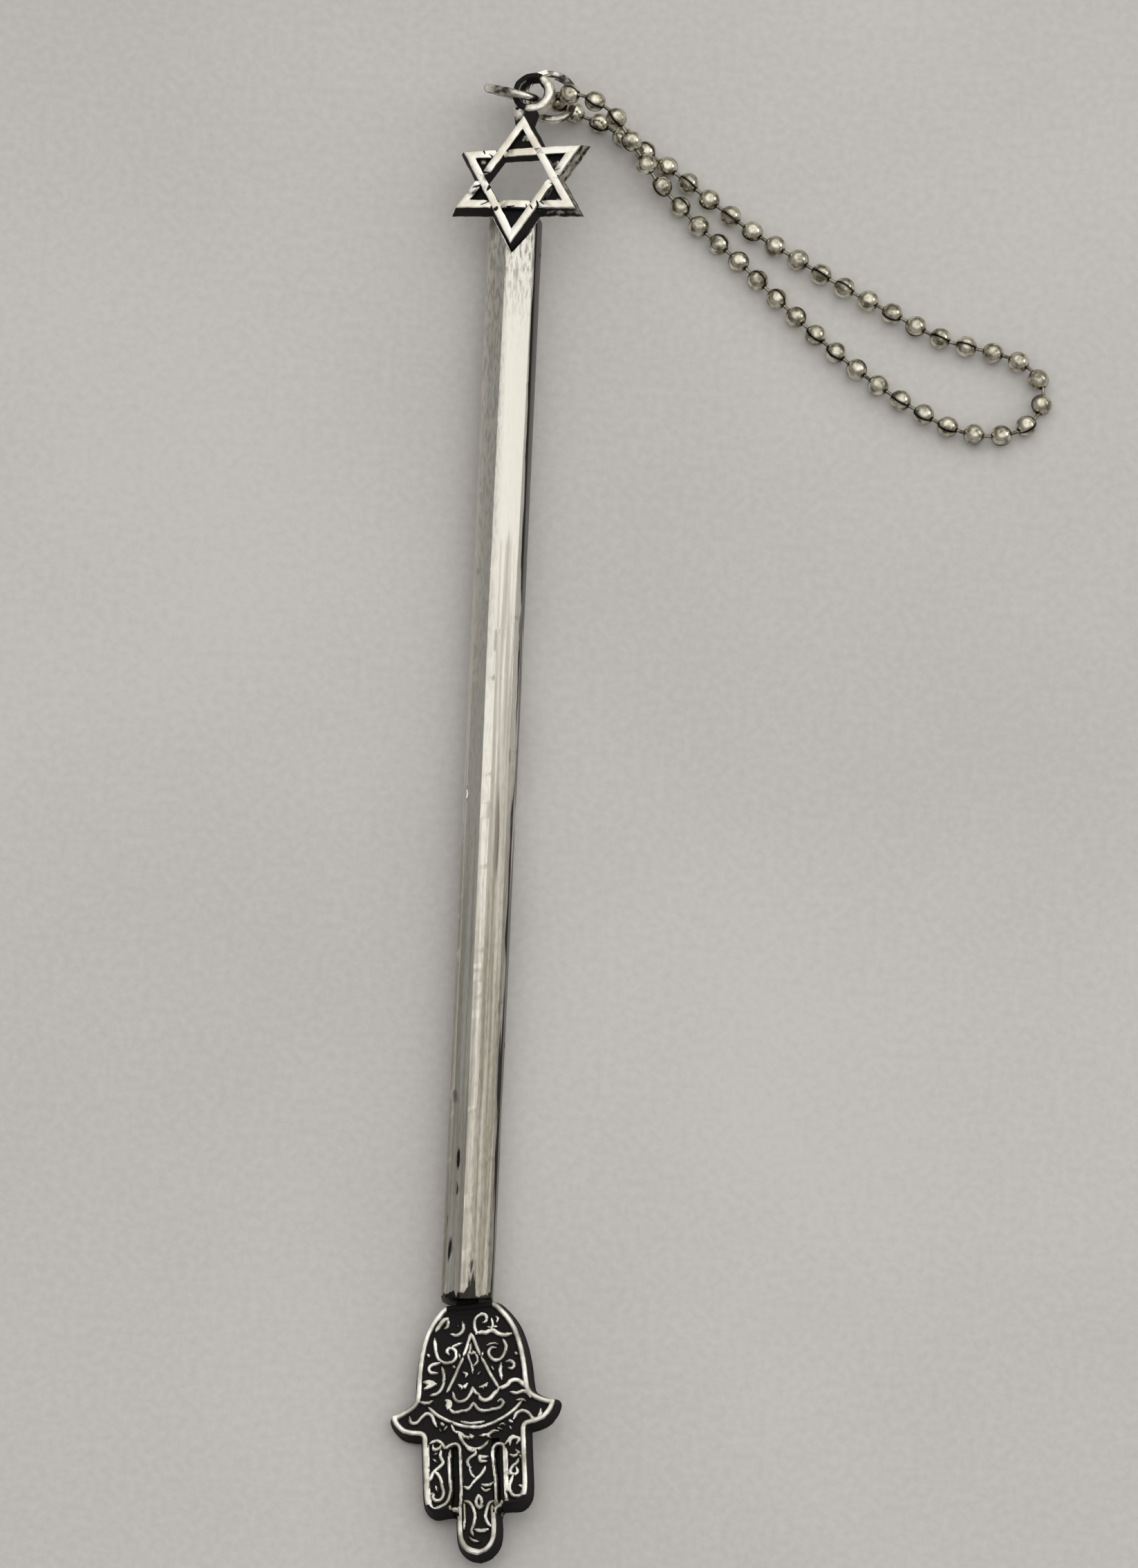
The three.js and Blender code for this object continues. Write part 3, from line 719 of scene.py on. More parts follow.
def depths(point, corners):
    """How far a point lies inside each side of a triangle."""
    sides = zip(corners, corners[1:] + corners[:1])
    return [((b - a).x * (point.y - a.y) - (b - a).y * (point.x - a.x)) / (b - a).length for a, b in sides]


def weave(point, number):
    """How far a bar dips at a point to pass under the other triangle, and how dark the line beside it is."""
    dip, line = 0, 0
    own, other = depths(point, TRIANGLES[number]), depths(point, TRIANGLES[1 - number])
    for triangle, side, over in WEAVE:
        if triangle == number and own[side] == min(own):
            beside = abs(other[over] - STAR_BAND / 2) - STAR_BAND / 2
            dip = max(dip, WEAVE_DIP * min(1, max(0, 1 - beside / WEAVE_SLOPE)))
            line = max(line, 1 - abs(beside - WEAVE_LINE_ASIDE) / WEAVE_LINE_WIDTH)
    return dip, line


def patch(point, centre, radius):
    """One at a patch's centre and nothing beyond its radius."""
    return max(0, 1 - (point.xy - Vector(centre)).length / radius)


def bar_wear_and_sheen(point, tips, line):
    """How bare a bar is: bright on top but for patches and the weave's lines; outer walls facing right get a
    painted highlight band, the other walls stay dark.
    """
    level = point.z / STAR_THICKNESS
    if level > 0.95:
        dull = max(patch(point, centre, radius) * loss for centre, radius, loss in DULL_PATCHES)
        return 1 - max(0, line) - dull
    if level < 0.06:
        return 0.62
    on_outer_wall = min(depths(point, tips)) < 0.02
    # Painted highlight: outer walls facing right are lighter, most at mid height
    right_wall_sheen = max(0, point.xy.normalized().x) if on_outer_wall else 0
    return 0.1 + 0.5 * right_wall_sheen * (1 - abs(level - 0.5))


def star_frame(number):
    """One of the two woven triangles: a ring of flat bars with drafted outer walls."""
    tips = TRIANGLES[number]
    part = bmesh.new()
    raised_and_lit = value_layer(part, "raised_and_lit")
    face = part.faces.new([part.verts.new((*corner, STAR_THICKNESS)) for corner in tips])
    part.normal_update()
    bmesh.ops.inset_region(part, faces=[face], thickness=STAR_BAND, use_even_offset=True,
                           use_boundary=True)
    bmesh.ops.delete(part, geom=[face], context="FACES_ONLY")
    extruded(part, part.faces[:], (0, 0, -STAR_THICKNESS))
    for tip, wide in zip(tips, offset_corners(tips, STAR_DRAFT)):
        low = min(part.verts, key=lambda vert: (vert.co - Vector((*tip, 0))).length)
        low.co.xy = wide
    lengthwise = [edge for edge in part.edges if edge.calc_length() > SHORTEST_BAR]
    bmesh.ops.subdivide_edges(part, edges=lengthwise, cuts=BAR_CUTS, use_grid_fill=True)
    upright = [edge for edge in part.edges if abs(edge.verts[0].co.z - edge.verts[1].co.z) > 1]
    bmesh.ops.subdivide_edges(part, edges=upright, cuts=WALL_CUTS, use_grid_fill=True)
    bmesh.ops.recalc_face_normals(part, faces=part.faces)
    rim = [
        edge for edge in part.edges
        if all(vert.co.z > STAR_THICKNESS - 0.01 for vert in edge.verts) and edge.calc_face_angle(0) > 1
    ]
    soften(part, rim, BAR_EDGE_ROUND, BAR_EDGE_PROFILE)
    for vert in part.verts:
        dip, line = weave(vert.co, number)
        vert[raised_and_lit] = bar_wear_and_sheen(vert.co, tips, line)
        vert.co.z -= dip * (vert.co.z / STAR_THICKNESS)
        vert.co.xy += (worn_edge(vert.co, 0.9, 0.06) + worn_edge(vert.co, 3.1, 0.035)).xy
    return part


def tip_floor(number, tip):
    """Blind floor of one of the star's tips, with a light patch painted where the floor is lit and partly
    worn by polish.
    """
    own, other = (offset_corners(TRIANGLES[triangle], -STAR_BAND / 2) for triangle in (number, 1 - number))
    facing = (tip + 2) % 3 if number == 0 else tip
    across = other[facing], other[(facing + 1) % 3]
    feet = [geometry.intersect_line_line_2d(own[tip], own[(tip + side) % 3], *across) for side in (1, 2)]
    part, raised_and_lit = slab([own[tip], *feet], STAR_FLOOR, 0)
    bmesh.ops.subdivide_edges(part, edges=part.edges[:], cuts=FLOOR_CUTS, use_grid_fill=True)
    for vert in part.verts:
        # Painted light: a light patch where the tip's floor is lit, partly worn by polish
        light = max(patch(vert.co, centre, radius) for centre, radius in LIT_AND_WORN_PATCHES)
        vert[raised_and_lit] = 0.08 + 0.75 * light
        if vert.co.z > STAR_FLOOR - 0.01:
            vert.co.z += noise.noise(vert.co * 1.7) * FLOOR_UNEVEN
    return part


def eye_rim():
    """The eye: a thick round rim, bare on its right and lower side and black elsewhere, with a painted
    highlight on the inner edge at its left.
    """
    part = bmesh.new()
    raised_and_lit = value_layer(part, "raised_and_lit")
    spun(part, rounded_section(20, EYE_SQUARENESS, EYE_BAND, EYE_THICKNESS), EYE_MEAN, math.tau, 72)
    for vert in part.verts:
        radius = math.hypot(vert.co.x, vert.co.y)
        heading = math.degrees(math.atan2(vert.co.y, vert.co.x))
        bright_side = np.interp(heading, (-120, -95, 50, 75), (0, 1, 1, 0))
        inner_wall = radius < EYE_HOLE / 2 + 0.14
        inner_edge_highlight = inner_wall and vert.co.z > EYE_THICKNESS * 0.28
        vert[raised_and_lit] = 0.08 if inner_wall else 0.18 + 0.82 * bright_side
        # Painted highlight along the upper inner edge on the left
        if inner_edge_highlight and abs(heading) > 120:
            vert[raised_and_lit] = 0.6
        inward = max(0, 1 - (radius - EYE_HOLE / 2) / EYE_BAND) * bright_side * EYE_THICKENING
        vert.co.xy *= 1 - inward / radius
        vert.co += worn_edge(vert.co, 1.4, 0.08) + worn_edge(vert.co, 3.3, 0.05)
    bmesh.ops.translate(part, verts=part.verts, vec=(EYE_ASIDE, EYE_REACH, STAR_THICKNESS / 2))
    return part


def star_neck():
    """Neck between the star and its eye, with a light web on its left that slants up to the rim."""
    low = STAR_TIPS[0].y - STAR_BAND * 2
    corners = [
        (-0.75, low), (0.9, low), (EYE_ASIDE + 0.75, EYE_REACH - EYE_MEAN),
        (EYE_ASIDE - 1.75, EYE_REACH - 1.1), (-1.35, 8.75),
    ]
    part, raised_and_lit = slab(corners, NECK_TOP, NECK_BOTTOM)
    soften(part, part.edges[:], NECK_ROUND)
    for vert in part.verts:
        on_web = vert.co.z > 1.4 and vert.co.y > 7.9 and vert.co.x < 0
        vert[raised_and_lit] = 0.85 if on_web else 0.12
    return part


def make_star(material):
    bm = bmesh.new()
    value_layer(bm, "raised_and_lit")
    for number in range(2):
        take_in(bm, star_frame(number))
        for tip in range(3):
            take_in(bm, tip_floor(number, tip))
    take_in(bm, eye_rim())
    take_in(bm, star_neck())
    settle("star_finial_cast", bm, STAR, material, "pointer", "star_finial", crease=40)


# Hand: right half of the outline as shares of half widths and of the length, with the curve's own corners
HALF = {"thumb": HAND_WIDTH / 2, "palm": PALM_WIDTH / 2, "finger": FINGER_WIDTH / 2}
OUTLINE = [
    ("palm", 0, 0), ("palm", 0.43, 0), ("palm", 0.65, 0.035), ("palm", 0.86, 0.1), ("palm", 0.985, 0.18),
    ("palm", 1.05, 0.26), ("palm", 1.075, 0.325), ("palm", 1.125, 0.366), ("thumb", 0.87, 0.394),
    ("thumb", 0.97, 0.402), ("thumb", 1, 0.42), ("thumb", 0.965, 0.455), ("thumb", 0.87, 0.492),
    ("thumb", 0.76, 0.508), ("palm", 1, 0.515), ("palm", 1, 0.62), ("palm", 1, 0.735), ("palm", 0.95, 0.785),
    ("palm", 0.8, 0.815), ("palm", 0.55, 0.815), ("finger", 1, 0.815), ("finger", 1, 0.9),
    ("finger", 0.86, 0.95), ("finger", 0.5, 0.985), ("finger", 0, 1),
]
OUTLINE_CORNERS = (14, 20)

# The hand's relief as drawn lines: each line is its half width in millimetres, its height and its points
SKETCH_RIGHT = Vector((0.01766, -0.0019))
SKETCH_DOWN = Vector((-0.0004, -0.0184))
SKETCH_ZERO = Vector((-10.4, 2.58))
FINE, PLAIN, BOLD, BLOB = 0.15, 0.2, 0.26, 0.34
RELIEF = [
    # Under the arch
    (BOLD, (372, 295), (395, 262), (425, 225), (452, 212)),
    (PLAIN, (455, 215), (448, 262), (428, 282)),
    (PLAIN, (545, 232), (551, 270), (540, 300), (510, 320), (470, 316)),
    (FINE, (508, 255), (516, 262)),
    (PLAIN, (640, 312), (623, 270), (623, 225), (645, 195), (680, 184), (700, 200), (696, 228), (676, 240)),
    (FINE, (702, 266), (735, 270), (738, 235), (730, 208)),
    (FINE, (738, 268), (775, 264)), (FINE, (766, 242), (772, 212), (756, 196)),
    (BOLD, (632, 312), (665, 300), (695, 302), (720, 290), (745, 290), (775, 310), (810, 318), (860, 310)),
    # Volutes
    (PLAIN, (365, 345), (368, 390), (372, 430), (390, 475), (430, 500), (475, 493), (499, 465), (500, 428),
     (480, 405), (455, 406), (442, 425), (456, 446)),
    (FINE, (545, 370), (500, 385), (470, 402)), (FINE, (520, 440), (530, 472)),
    (PLAIN, (805, 345), (822, 385), (815, 430), (792, 468), (755, 482), (722, 460), (711, 428), (728, 402),
     (760, 402)),
    (FINE, (674, 425), (670, 458)), (FINE, (700, 385), (740, 372), (775, 378)),
    # Lancet and its tail
    (PLAIN, (598, 306), (585, 350), (570, 400), (548, 458)),
    (PLAIN, (598, 306), (620, 355), (640, 410), (658, 452)),
    (FINE, (600, 370), (592, 420), (580, 455), (603, 520), (607, 566)),
    (FINE, (606, 420), (628, 440), (640, 485), (612, 522)), (FINE, (585, 440), (630, 438)),
    # Long lines down to the band
    (PLAIN, (548, 468), (520, 520), (490, 590), (460, 650), (440, 690)),
    (PLAIN, (664, 462), (690, 510), (720, 570), (750, 620), (772, 658)),
    # Left field
    (BLOB, (321, 448), (327, 455)), (BLOB, (484, 522), (490, 528)),
    (PLAIN, (398, 500), (350, 510), (326, 532), (336, 560), (380, 566)),
    (PLAIN, (410, 525), (421, 580), (416, 640), (385, 690), (330, 712)),
    (BLOB, (295, 622), (330, 626), (368, 636)), (BOLD, (297, 668), (330, 648), (360, 640)),
    (PLAIN, (545, 560), (568, 572), (562, 590)), (BOLD, (515, 640), (545, 656), (572, 634)),
    (FINE, (546, 655), (530, 674)), (FINE, (640, 575), (655, 556)),
    # Right field
    (BLOB, (884, 434), (890, 440)), (BOLD, (650, 655), (680, 650), (702, 630)),
    (FINE, (680, 650), (672, 670)),
    (PLAIN, (822, 490), (856, 486), (876, 510), (862, 532), (836, 530)),
    (PLAIN, (792, 500), (785, 550), (796, 606)), (FINE, (730, 520), (742, 545)),
    (BOLD, (770, 660), (800, 655), (830, 640), (850, 616), (885, 607), (915, 620), (942, 652)),
    (PLAIN, (850, 688), (890, 692), (930, 680), (960, 692), (978, 724)),
    # Two rows of leaves
    (PLAIN, (478, 688), (490, 730), (520, 748), (560, 736), (590, 700), (606, 655)),
    (PLAIN, (606, 655), (625, 690), (652, 702)),
    (BOLD, (646, 706), (660, 730), (690, 738), (720, 725), (745, 696), (775, 668)),
    (BOLD, (430, 742), (458, 752), (452, 790), (432, 772)), (BLOB, (440, 760), (450, 770)),
    (PLAIN, (452, 790), (482, 815), (530, 810), (580, 796), (610, 752)),
    (PLAIN, (610, 752), (640, 795), (680, 806), (740, 796), (780, 785), (802, 756), (788, 736), (766, 750)),
    # Crescent across the palm
    (PLAIN, (320, 785), (370, 830), (430, 864), (500, 893), (570, 910), (650, 910), (720, 890), (800, 850),
     (870, 800), (922, 745)),
    (FINE, (530, 878), (600, 888), (680, 876)), (PLAIN, (262, 750), (310, 758), (348, 745)),
    (PLAIN, (890, 740), (920, 735), (945, 742)),
    # Thumbs
    (PLAIN, (198, 845), (206, 882), (240, 885), (275, 850), (310, 825), (340, 840), (356, 880), (372, 912)),
    (PLAIN, (868, 862), (890, 820), (930, 806), (965, 822), (990, 852), (1022, 855), (1040, 822),
     (1044, 795)),
    # Band under the crescent
    (BLOB, (402, 888), (414, 900)), (FINE, (390, 925), (400, 940)), (BLOB, (842, 872), (858, 878)),
    (BOLD, (845, 912), (850, 920)), (FINE, (465, 890), (480, 930), (500, 952)),
    (FINE, (440, 905), (420, 935)),
    (PLAIN, (490, 940), (530, 955), (556, 976), (600, 975), (582, 958)), (FINE, (560, 978), (582, 990)),
    (PLAIN, (650, 968), (700, 960), (735, 938), (768, 936)), (FINE, (690, 966), (720, 980)),
    (FINE, (775, 900), (800, 890), (812, 900)), (FINE, (760, 915), (790, 925)),
    (PLAIN, (512, 950), (535, 1000), (565, 1035), (600, 1050), (642, 1050), (680, 1028), (705, 1000)),
    # Fingers' inner rims
    (PLAIN, (322, 1022), (345, 1008), (375, 1000), (402, 1016), (425, 1046), (455, 1030), (490, 1020),
     (514, 1036), (522, 1090), (525, 1200), (525, 1330), (520, 1420), (516, 1520), (520, 1600), (532, 1640),
     (562, 1682), (620, 1705), (672, 1700), (722, 1668), (746, 1630), (752, 1550), (750, 1400), (746, 1260),
     (735, 1150), (730, 1070), (742, 1034), (770, 1018), (798, 1026), (806, 1060), (808, 1200), (812, 1330),
     (822, 1390), (850, 1414), (900, 1410), (930, 1380), (938, 1300)),
    (PLAIN, (458, 1060), (450, 1120), (450, 1200), (456, 1280), (455, 1340), (430, 1398), (390, 1424),
     (345, 1440)),
    (FINE, (318, 1030), (316, 1150), (318, 1290), (328, 1400), (345, 1440)),
    (FINE, (806, 1030), (850, 976), (880, 968)), (FINE, (820, 1050), (822, 1200), (824, 1330)),
    # Left finger's scroll
    (PLAIN, (346, 1030), (352, 1055), (385, 1050), (400, 1028)),
    (PLAIN, (398, 1062), (394, 1100), (410, 1140), (386, 1170), (350, 1200), (332, 1240), (324, 1262)),
    (PLAIN, (350, 1200), (376, 1215), (395, 1250), (402, 1290), (411, 1330), (400, 1370), (370, 1385),
     (346, 1370), (342, 1345)),
    (FINE, (345, 1118), (370, 1138)), (FINE, (350, 1090), (375, 1080)), (BLOB, (340, 1340), (350, 1350)),
    (FINE, (362, 1290), (372, 1330)),
    # Right finger's scroll
    (PLAIN, (842, 1030), (846, 995), (870, 980), (902, 986), (886, 1020)),
    (PLAIN, (842, 1090), (870, 1096), (898, 1080), (880, 1058)), (FINE, (905, 1090), (912, 1110)),
    (PLAIN, (900, 1112), (885, 1142), (860, 1162), (842, 1200), (868, 1216), (890, 1200), (882, 1168)),
    (PLAIN, (862, 1222), (845, 1262), (836, 1300), (850, 1340), (880, 1355), (912, 1345), (926, 1300),
     (896, 1286)),
    # Middle finger
    (FINE, (556, 1040), (592, 1065), (628, 1060)), (PLAIN, (625, 1062), (618, 1085), (590, 1105), (568, 1130),
     (575, 1160), (592, 1172)),
    (PLAIN, (702, 1100), (670, 1104), (646, 1100), (652, 1130), (692, 1132)),
    (FINE, (580, 1172), (592, 1212), (620, 1244)),
    (PLAIN, (684, 1165), (660, 1210), (620, 1250), (590, 1285)),
    (BOLD, (545, 1296), (570, 1304), (592, 1290)), (PLAIN, (658, 1282), (700, 1286), (736, 1268)),
    (FINE, (650, 1295), (680, 1320), (722, 1308)), (PLAIN, (640, 1346), (625, 1372), (622, 1402), (640, 1430),
     (656, 1402), (652, 1370), (640, 1346)),
    (PLAIN, (545, 1390), (576, 1396), (600, 1430), (612, 1480), (605, 1530), (590, 1580), (602, 1612)),
    (PLAIN, (738, 1386), (706, 1400), (690, 1440), (681, 1490), (696, 1530), (716, 1552)),
    (BOLD, (612, 1572), (650, 1578), (696, 1570)), (FINE, (545, 1400), (548, 1480), (542, 1570)),
    (FINE, (640, 1440), (672, 1415)), (FINE, (575, 1620), (600, 1640), (640, 1650)),
]
HAND_GRID = 0.085
GROUND_DEPTH = 0.42
HAND_GROUND = HAND_FRONT - GROUND_DEPTH
GROUND_UNEVEN = 0.05
WALL_FOOT = HAND_BACK + 0.35
RIM_FROM, RIM_TO = HAND_DRAFT + 0.42, HAND_DRAFT + 0.68
SLOT_FROM, SLOT_TO = 0.54, 0.83
SLOT_ASIDE, SLOT_HALF, SLOT_DEPTH = 2.35, 0.42, 0.75

# A drawn line as a ridge: the share of its half width that is used, its taper, its foot and its height
STROKE_STEP = 0.06
STROKE_WIDTH = 0.76
STROKE_END, STROKE_TAPER = 0.45, 1.4
STROKE_FOOT = 1.7
STROKE_FULLNESS = 1.5
STROKE_HEIGHT, STROKE_UNEVEN = 0.92, 0.12


def smooth_points(points, step):
    """Points at even steps on a smooth curve through the given ones."""
    pts = [Vector(point) for point in points]
    padded = [pts[0] * 2 - pts[1], *pts, pts[-1] * 2 - pts[-2]]
    made = []
    for before, start, end, after in zip(padded, padded[1:], padded[2:], padded[3:]):
        count = max(1, round((end - start).length / step))
        for number in range(count):
            t = number / count
            made.append(
                start + (end - before) * (t / 2)
                + (before * 2 - start * 5 + end * 4 - after) * (t * t / 2)
                + (start * 3 - before - end * 3 + after) * (t ** 3 / 2)
            )
    made.append(pts[-1])
    return made


def hand_outline():
    right = [Vector((HALF[across] * x, -HAND_LENGTH * y)) for across, x, y in OUTLINE]
    parts = []
    begin = 0
    for corner in (*OUTLINE_CORNERS, len(right) - 1):
        parts += smooth_points(right[begin:corner + 1], 0.25)[:-1]
        begin = corner
    parts.append(right[-1])
    left = [Vector((-point.x, point.y)) for point in parts[1:-1]]
    return parts + left[::-1]


def nearest_on_outline(points, outline):
    """Distance to the outline (positive inside) and the nearest point on it, for an array of points."""
    start = np.array([point[:] for point in outline])
    end = np.roll(start, -1, axis=0)
    best = np.full(len(points), 1e9)
    nearest = np.zeros_like(points)
    inside = np.zeros(len(points), bool)
    for a, b in zip(start, end):
        side = b - a
        share = np.clip(((points - a) @ side) / (side @ side), 0, 1)
        foot = a + share[:, None] * side
        distance = np.hypot(*(points - foot).T)
        closer = distance < best
        best[closer] = distance[closer]
        nearest[closer] = foot[closer]
        if a[1] != b[1]:
            crosses = (a[1] > points[:, 1]) != (b[1] > points[:, 1])
            cut = a[0] + (points[:, 1] - a[1]) / (b[1] - a[1]) * side[0]
            inside ^= crosses & (points[:, 0] < cut)
    return np.where(inside, best, -best), nearest


def smooth_step(value, low, high):
    t = np.clip((value - low) / (high - low), 0, 1)
    return t * t * (3 - 2 * t)


def hand_blank(bm):
    """A fine grid cut to the hand's outline: its vertices, and their places and depths inside it."""
    columns, rows = round(HAND_WIDTH / HAND_GRID) + 2, round(HAND_LENGTH / HAND_GRID) + 2
    bmesh.ops.create_grid(bm, x_segments=columns, y_segments=rows, size=0.5)
    stretch = Matrix.Diagonal((columns * HAND_GRID, rows * HAND_GRID, 1))
    bmesh.ops.transform(bm, matrix=stretch.to_4x4(), verts=bm.verts)
    bmesh.ops.translate(bm, verts=bm.verts, vec=(0, -HAND_LENGTH / 2, 0))
    verts = bm.verts[:]
    points = np.array([vert.co.xy[:] for vert in verts])
    depth, nearest = nearest_on_outline(points, hand_outline())
    for vert, point, inward in zip(verts, nearest, depth):
        if inward < HAND_GRID / 2:
            vert.co.xy = point
    inside = depth >= -HAND_GRID / 2
    kept = [vert for vert, stays in zip(verts, inside) if stays]
    bmesh.ops.delete(bm, geom=[vert for vert, stays in zip(verts, inside) if not stays], context="VERTS")
    depth[depth < HAND_GRID / 2] = 0
    return kept, points[inside], depth[inside]


def hand_surface(points, depth):
    """Height of the wall, the rim and the sunken ground at each point, and how bare the metal is there, with
    painted shadow of the shaft's end across the arch's top and a darker rim at the outer fingers' ends.
    """
    rim = smooth_step(depth, 0.0, HAND_DRAFT + 0.08)
    drop = smooth_step(depth, RIM_FROM, RIM_TO)
    height = WALL_FOOT + (HAND_FRONT - WALL_FOOT) * rim - GROUND_DEPTH * drop
    bare_and_shadow = np.clip((height - HAND_GROUND) / GROUND_DEPTH, 0, 1) * (depth > HAND_DRAFT * 0.55)
    along = -points[:, 1] / HAND_LENGTH
    aside = np.abs(points[:, 0])
    # Painted shadow: the rim across the arch's top is darkened where the shaft's end shades it
    shadowed_arch_top = (aside < 2.6) & (along < 0.05)
    finger_ends = (aside > FINGER_WIDTH / 2 + 0.5) & (along > 0.775)
    return height, bare_and_shadow * np.where(shadowed_arch_top | finger_ends, 0.3, 1)


def relief_strokes():
    """Points along the drawn lines, each with the line's half width there, which tapers to its ends."""
    strokes = []
    for half_width, *sketch in RELIEF:
        line = [SKETCH_ZERO + SKETCH_RIGHT * x + SKETCH_DOWN * y + Vector((0, HAND_GAP)) for x, y in sketch]
        line = smooth_points(line, STROKE_STEP)
        for number, point in enumerate(line):
            to_end = min(number, len(line) - 1 - number) * STROKE_STEP
            strokes.append((point, half_width * STROKE_WIDTH * min(1, STROKE_END + to_end * STROKE_TAPER)))
    return strokes


def raise_relief(kept, points, depth, raised_and_lit):
    """Gives each point of the face its height, from the drawn ridges, the ground and the two dark slots."""
    strokes = relief_strokes()
    tree = kdtree.KDTree(len(strokes))
    for number, (point, _) in enumerate(strokes):
        tree.insert((*point, 0), number)
    tree.balance()
    for vert, (x, y), inward, surface, bare_and_shadow in zip(kept, points, depth, *hand_surface(points, depth)):
        _, index, distance = tree.find((x, y, 0))
        uneven = noise.noise(Vector((x * 1.6, y * 1.6, 3))) * STROKE_UNEVEN
        ridge = 1 - min(1, distance / (strokes[index][1] * STROKE_FOOT)) ** 2
        level = 0
        if inward > HAND_DRAFT + 0.3 and ridge > 0:
            level = min(1, ridge * STROKE_FULLNESS) * (STROKE_HEIGHT + uneven)
        z = max(surface, HAND_GROUND + GROUND_DEPTH * level) if level else surface
        if inward > HAND_DRAFT + 0.5:
            z += noise.noise(Vector((x * 4, y * 4, 0))) * GROUND_UNEVEN * (1 - level)
        in_slot = abs(abs(x) - SLOT_ASIDE) < SLOT_HALF and SLOT_FROM < -y / HAND_LENGTH < SLOT_TO
        if in_slot and level < 0.4:
            z -= SLOT_DEPTH * (1 - level / 0.4)
        vert.co.z = z
        vert[raised_and_lit] = max(bare_and_shadow, level)


def close_back(bm, raised_and_lit):
    """Takes the border of the face straight down and closes it with a flat back."""
    border = [edge for edge in bm.edges if len(edge.link_faces) == 1]
    made = bmesh.ops.extrude_edge_only(bm, edges=border)["geom"]
    for vert in [item for item in made if isinstance(item, bmesh.types.BMVert)]:
        vert.co.z = HAND_BACK
        vert[raised_and_lit] = 0.45
    lowest = [
        item for item in made
        if isinstance(item, bmesh.types.BMEdge) and all(vert.co.z == HAND_BACK for vert in item.verts)
    ]
    bmesh.ops.triangle_fill(bm, edges=lowest, use_beauty=True)


def hand_tongue():
    """The tongue that the shaft's slot holds, in line with the shaft."""
    side = TONGUE_WIDTH / 2
    corners = [(-side, TONGUE_FROM), (side, TONGUE_FROM), (side, TONGUE_TO), (-side, TONGUE_TO)]
    tongue, _ = slab(corners, TONGUE_TOP, TONGUE_BOTTOM)
    bmesh.ops.rotate(tongue, verts=tongue.verts, matrix=Matrix.Rotation(-HAND_TURN, 3, "Z"))
    bmesh.ops.translate(tongue, verts=tongue.verts, vec=(-HAND_PLACE.x, 0, 0))
    return tongue


def make_hand(material):
    bm = bmesh.new()
    raised_and_lit = value_layer(bm, "raised_and_lit")
    kept, points, depth = hand_blank(bm)
    raise_relief(kept, points, depth, raised_and_lit)
    close_back(bm, raised_and_lit)
    bmesh.ops.translate(bm, verts=bm.verts, vec=(0, -HAND_GAP, 0))
    take_in(bm, hand_tongue())
    settle("hamsa_hand_cast", bm, HAND, material, "pointer", "hamsa_hand", crease=60)


# Rings

def bent_wire(bm, section, radius, turns, pitch, steps):
    """Spins a closed section round the Z axis, rising by a pitch a turn, and closes both ends."""
    angle = turns * math.tau
    spun(bm, section, radius, angle, steps, pitch * turns / steps)
    ends = [edge for edge in bm.edges if len(edge.link_faces) == 1]
    bmesh.ops.holes_fill(bm, edges=ends, sides=len(section))
    middle = Matrix.Rotation(-angle / 2, 4, "Z") @ Matrix.Translation((0, 0, -pitch * turns / 2))
    bmesh.ops.transform(bm, matrix=middle, verts=bm.verts)


def make_jump_ring(material):
    bm = bmesh.new()
    turns = 1 - JUMP_SLIT / (math.tau * JUMP_RADIUS)
    bent_wire(bm, rounded_section(20, 1, JUMP_WIRE, JUMP_WIRE), JUMP_RADIUS, turns, 0, 96)
    for vert in bm.verts:
        vert.co += worn_edge(vert.co, 1.1, 0.03)
    settle("jump_ring_wire", bm, JUMP, material, "jump_ring", "jump_ring")


def make_split_ring(material):
    bm = bmesh.new()
    section = rounded_section(24, SPLIT_SQUARENESS, SPLIT_WIDTH, SPLIT_HEIGHT)
    bent_wire(bm, section, SPLIT_RADIUS, SPLIT_TURNS, SPLIT_PITCH, 150)
    bmesh.ops.scale(bm, verts=bm.verts, vec=(1, 1, -1))
    settle("split_ring_coil", bm, SPLIT, material, "split_ring", "split_ring")


# Ball chain

def chain_centres():
    """Bead centres at even steps along the closed route, a centripetal curve through its points."""
    points = [Vector((SPLIT_CENTRE.x + x, SPLIT_CENTRE.y + y, height)) for x, y, height in CHAIN_ROUTE]
    count = len(points)
    line = []
    for number in range(count):
        p0, p1, p2, p3 = (points[(number + shift) % count] for shift in (-1, 0, 1, 2))
        d0, d1, d2 = math.sqrt((p1 - p0).length), math.sqrt((p2 - p1).length), math.sqrt((p3 - p2).length)
        leave = ((p1 - p0) / d0 - (p2 - p0) / (d0 + d1) + (p2 - p1) / d1) * d1
        arrive = ((p2 - p1) / d1 - (p3 - p1) / (d1 + d2) + (p3 - p2) / d2) * d1
        for step in range(ROUTE_STEPS):
            t = step / ROUTE_STEPS
            line.append(
                p1 + leave * t + ((p2 - p1) * 3 - leave * 2 - arrive) * t ** 2
                + ((p1 - p2) * 2 + leave + arrive) * t ** 3
            )
    line.append(line[0])
    reach = [0]
    for a, b in zip(line, line[1:]):
        reach.append(reach[-1] + (b - a).length)
    wanted = [reach[-1] * bead / BEAD_COUNT for bead in range(BEAD_COUNT)]
    columns = [np.interp(wanted, reach, [point[axis] for point in line]) for axis in range(3)]
    return [Vector(point) for point in zip(*columns)]


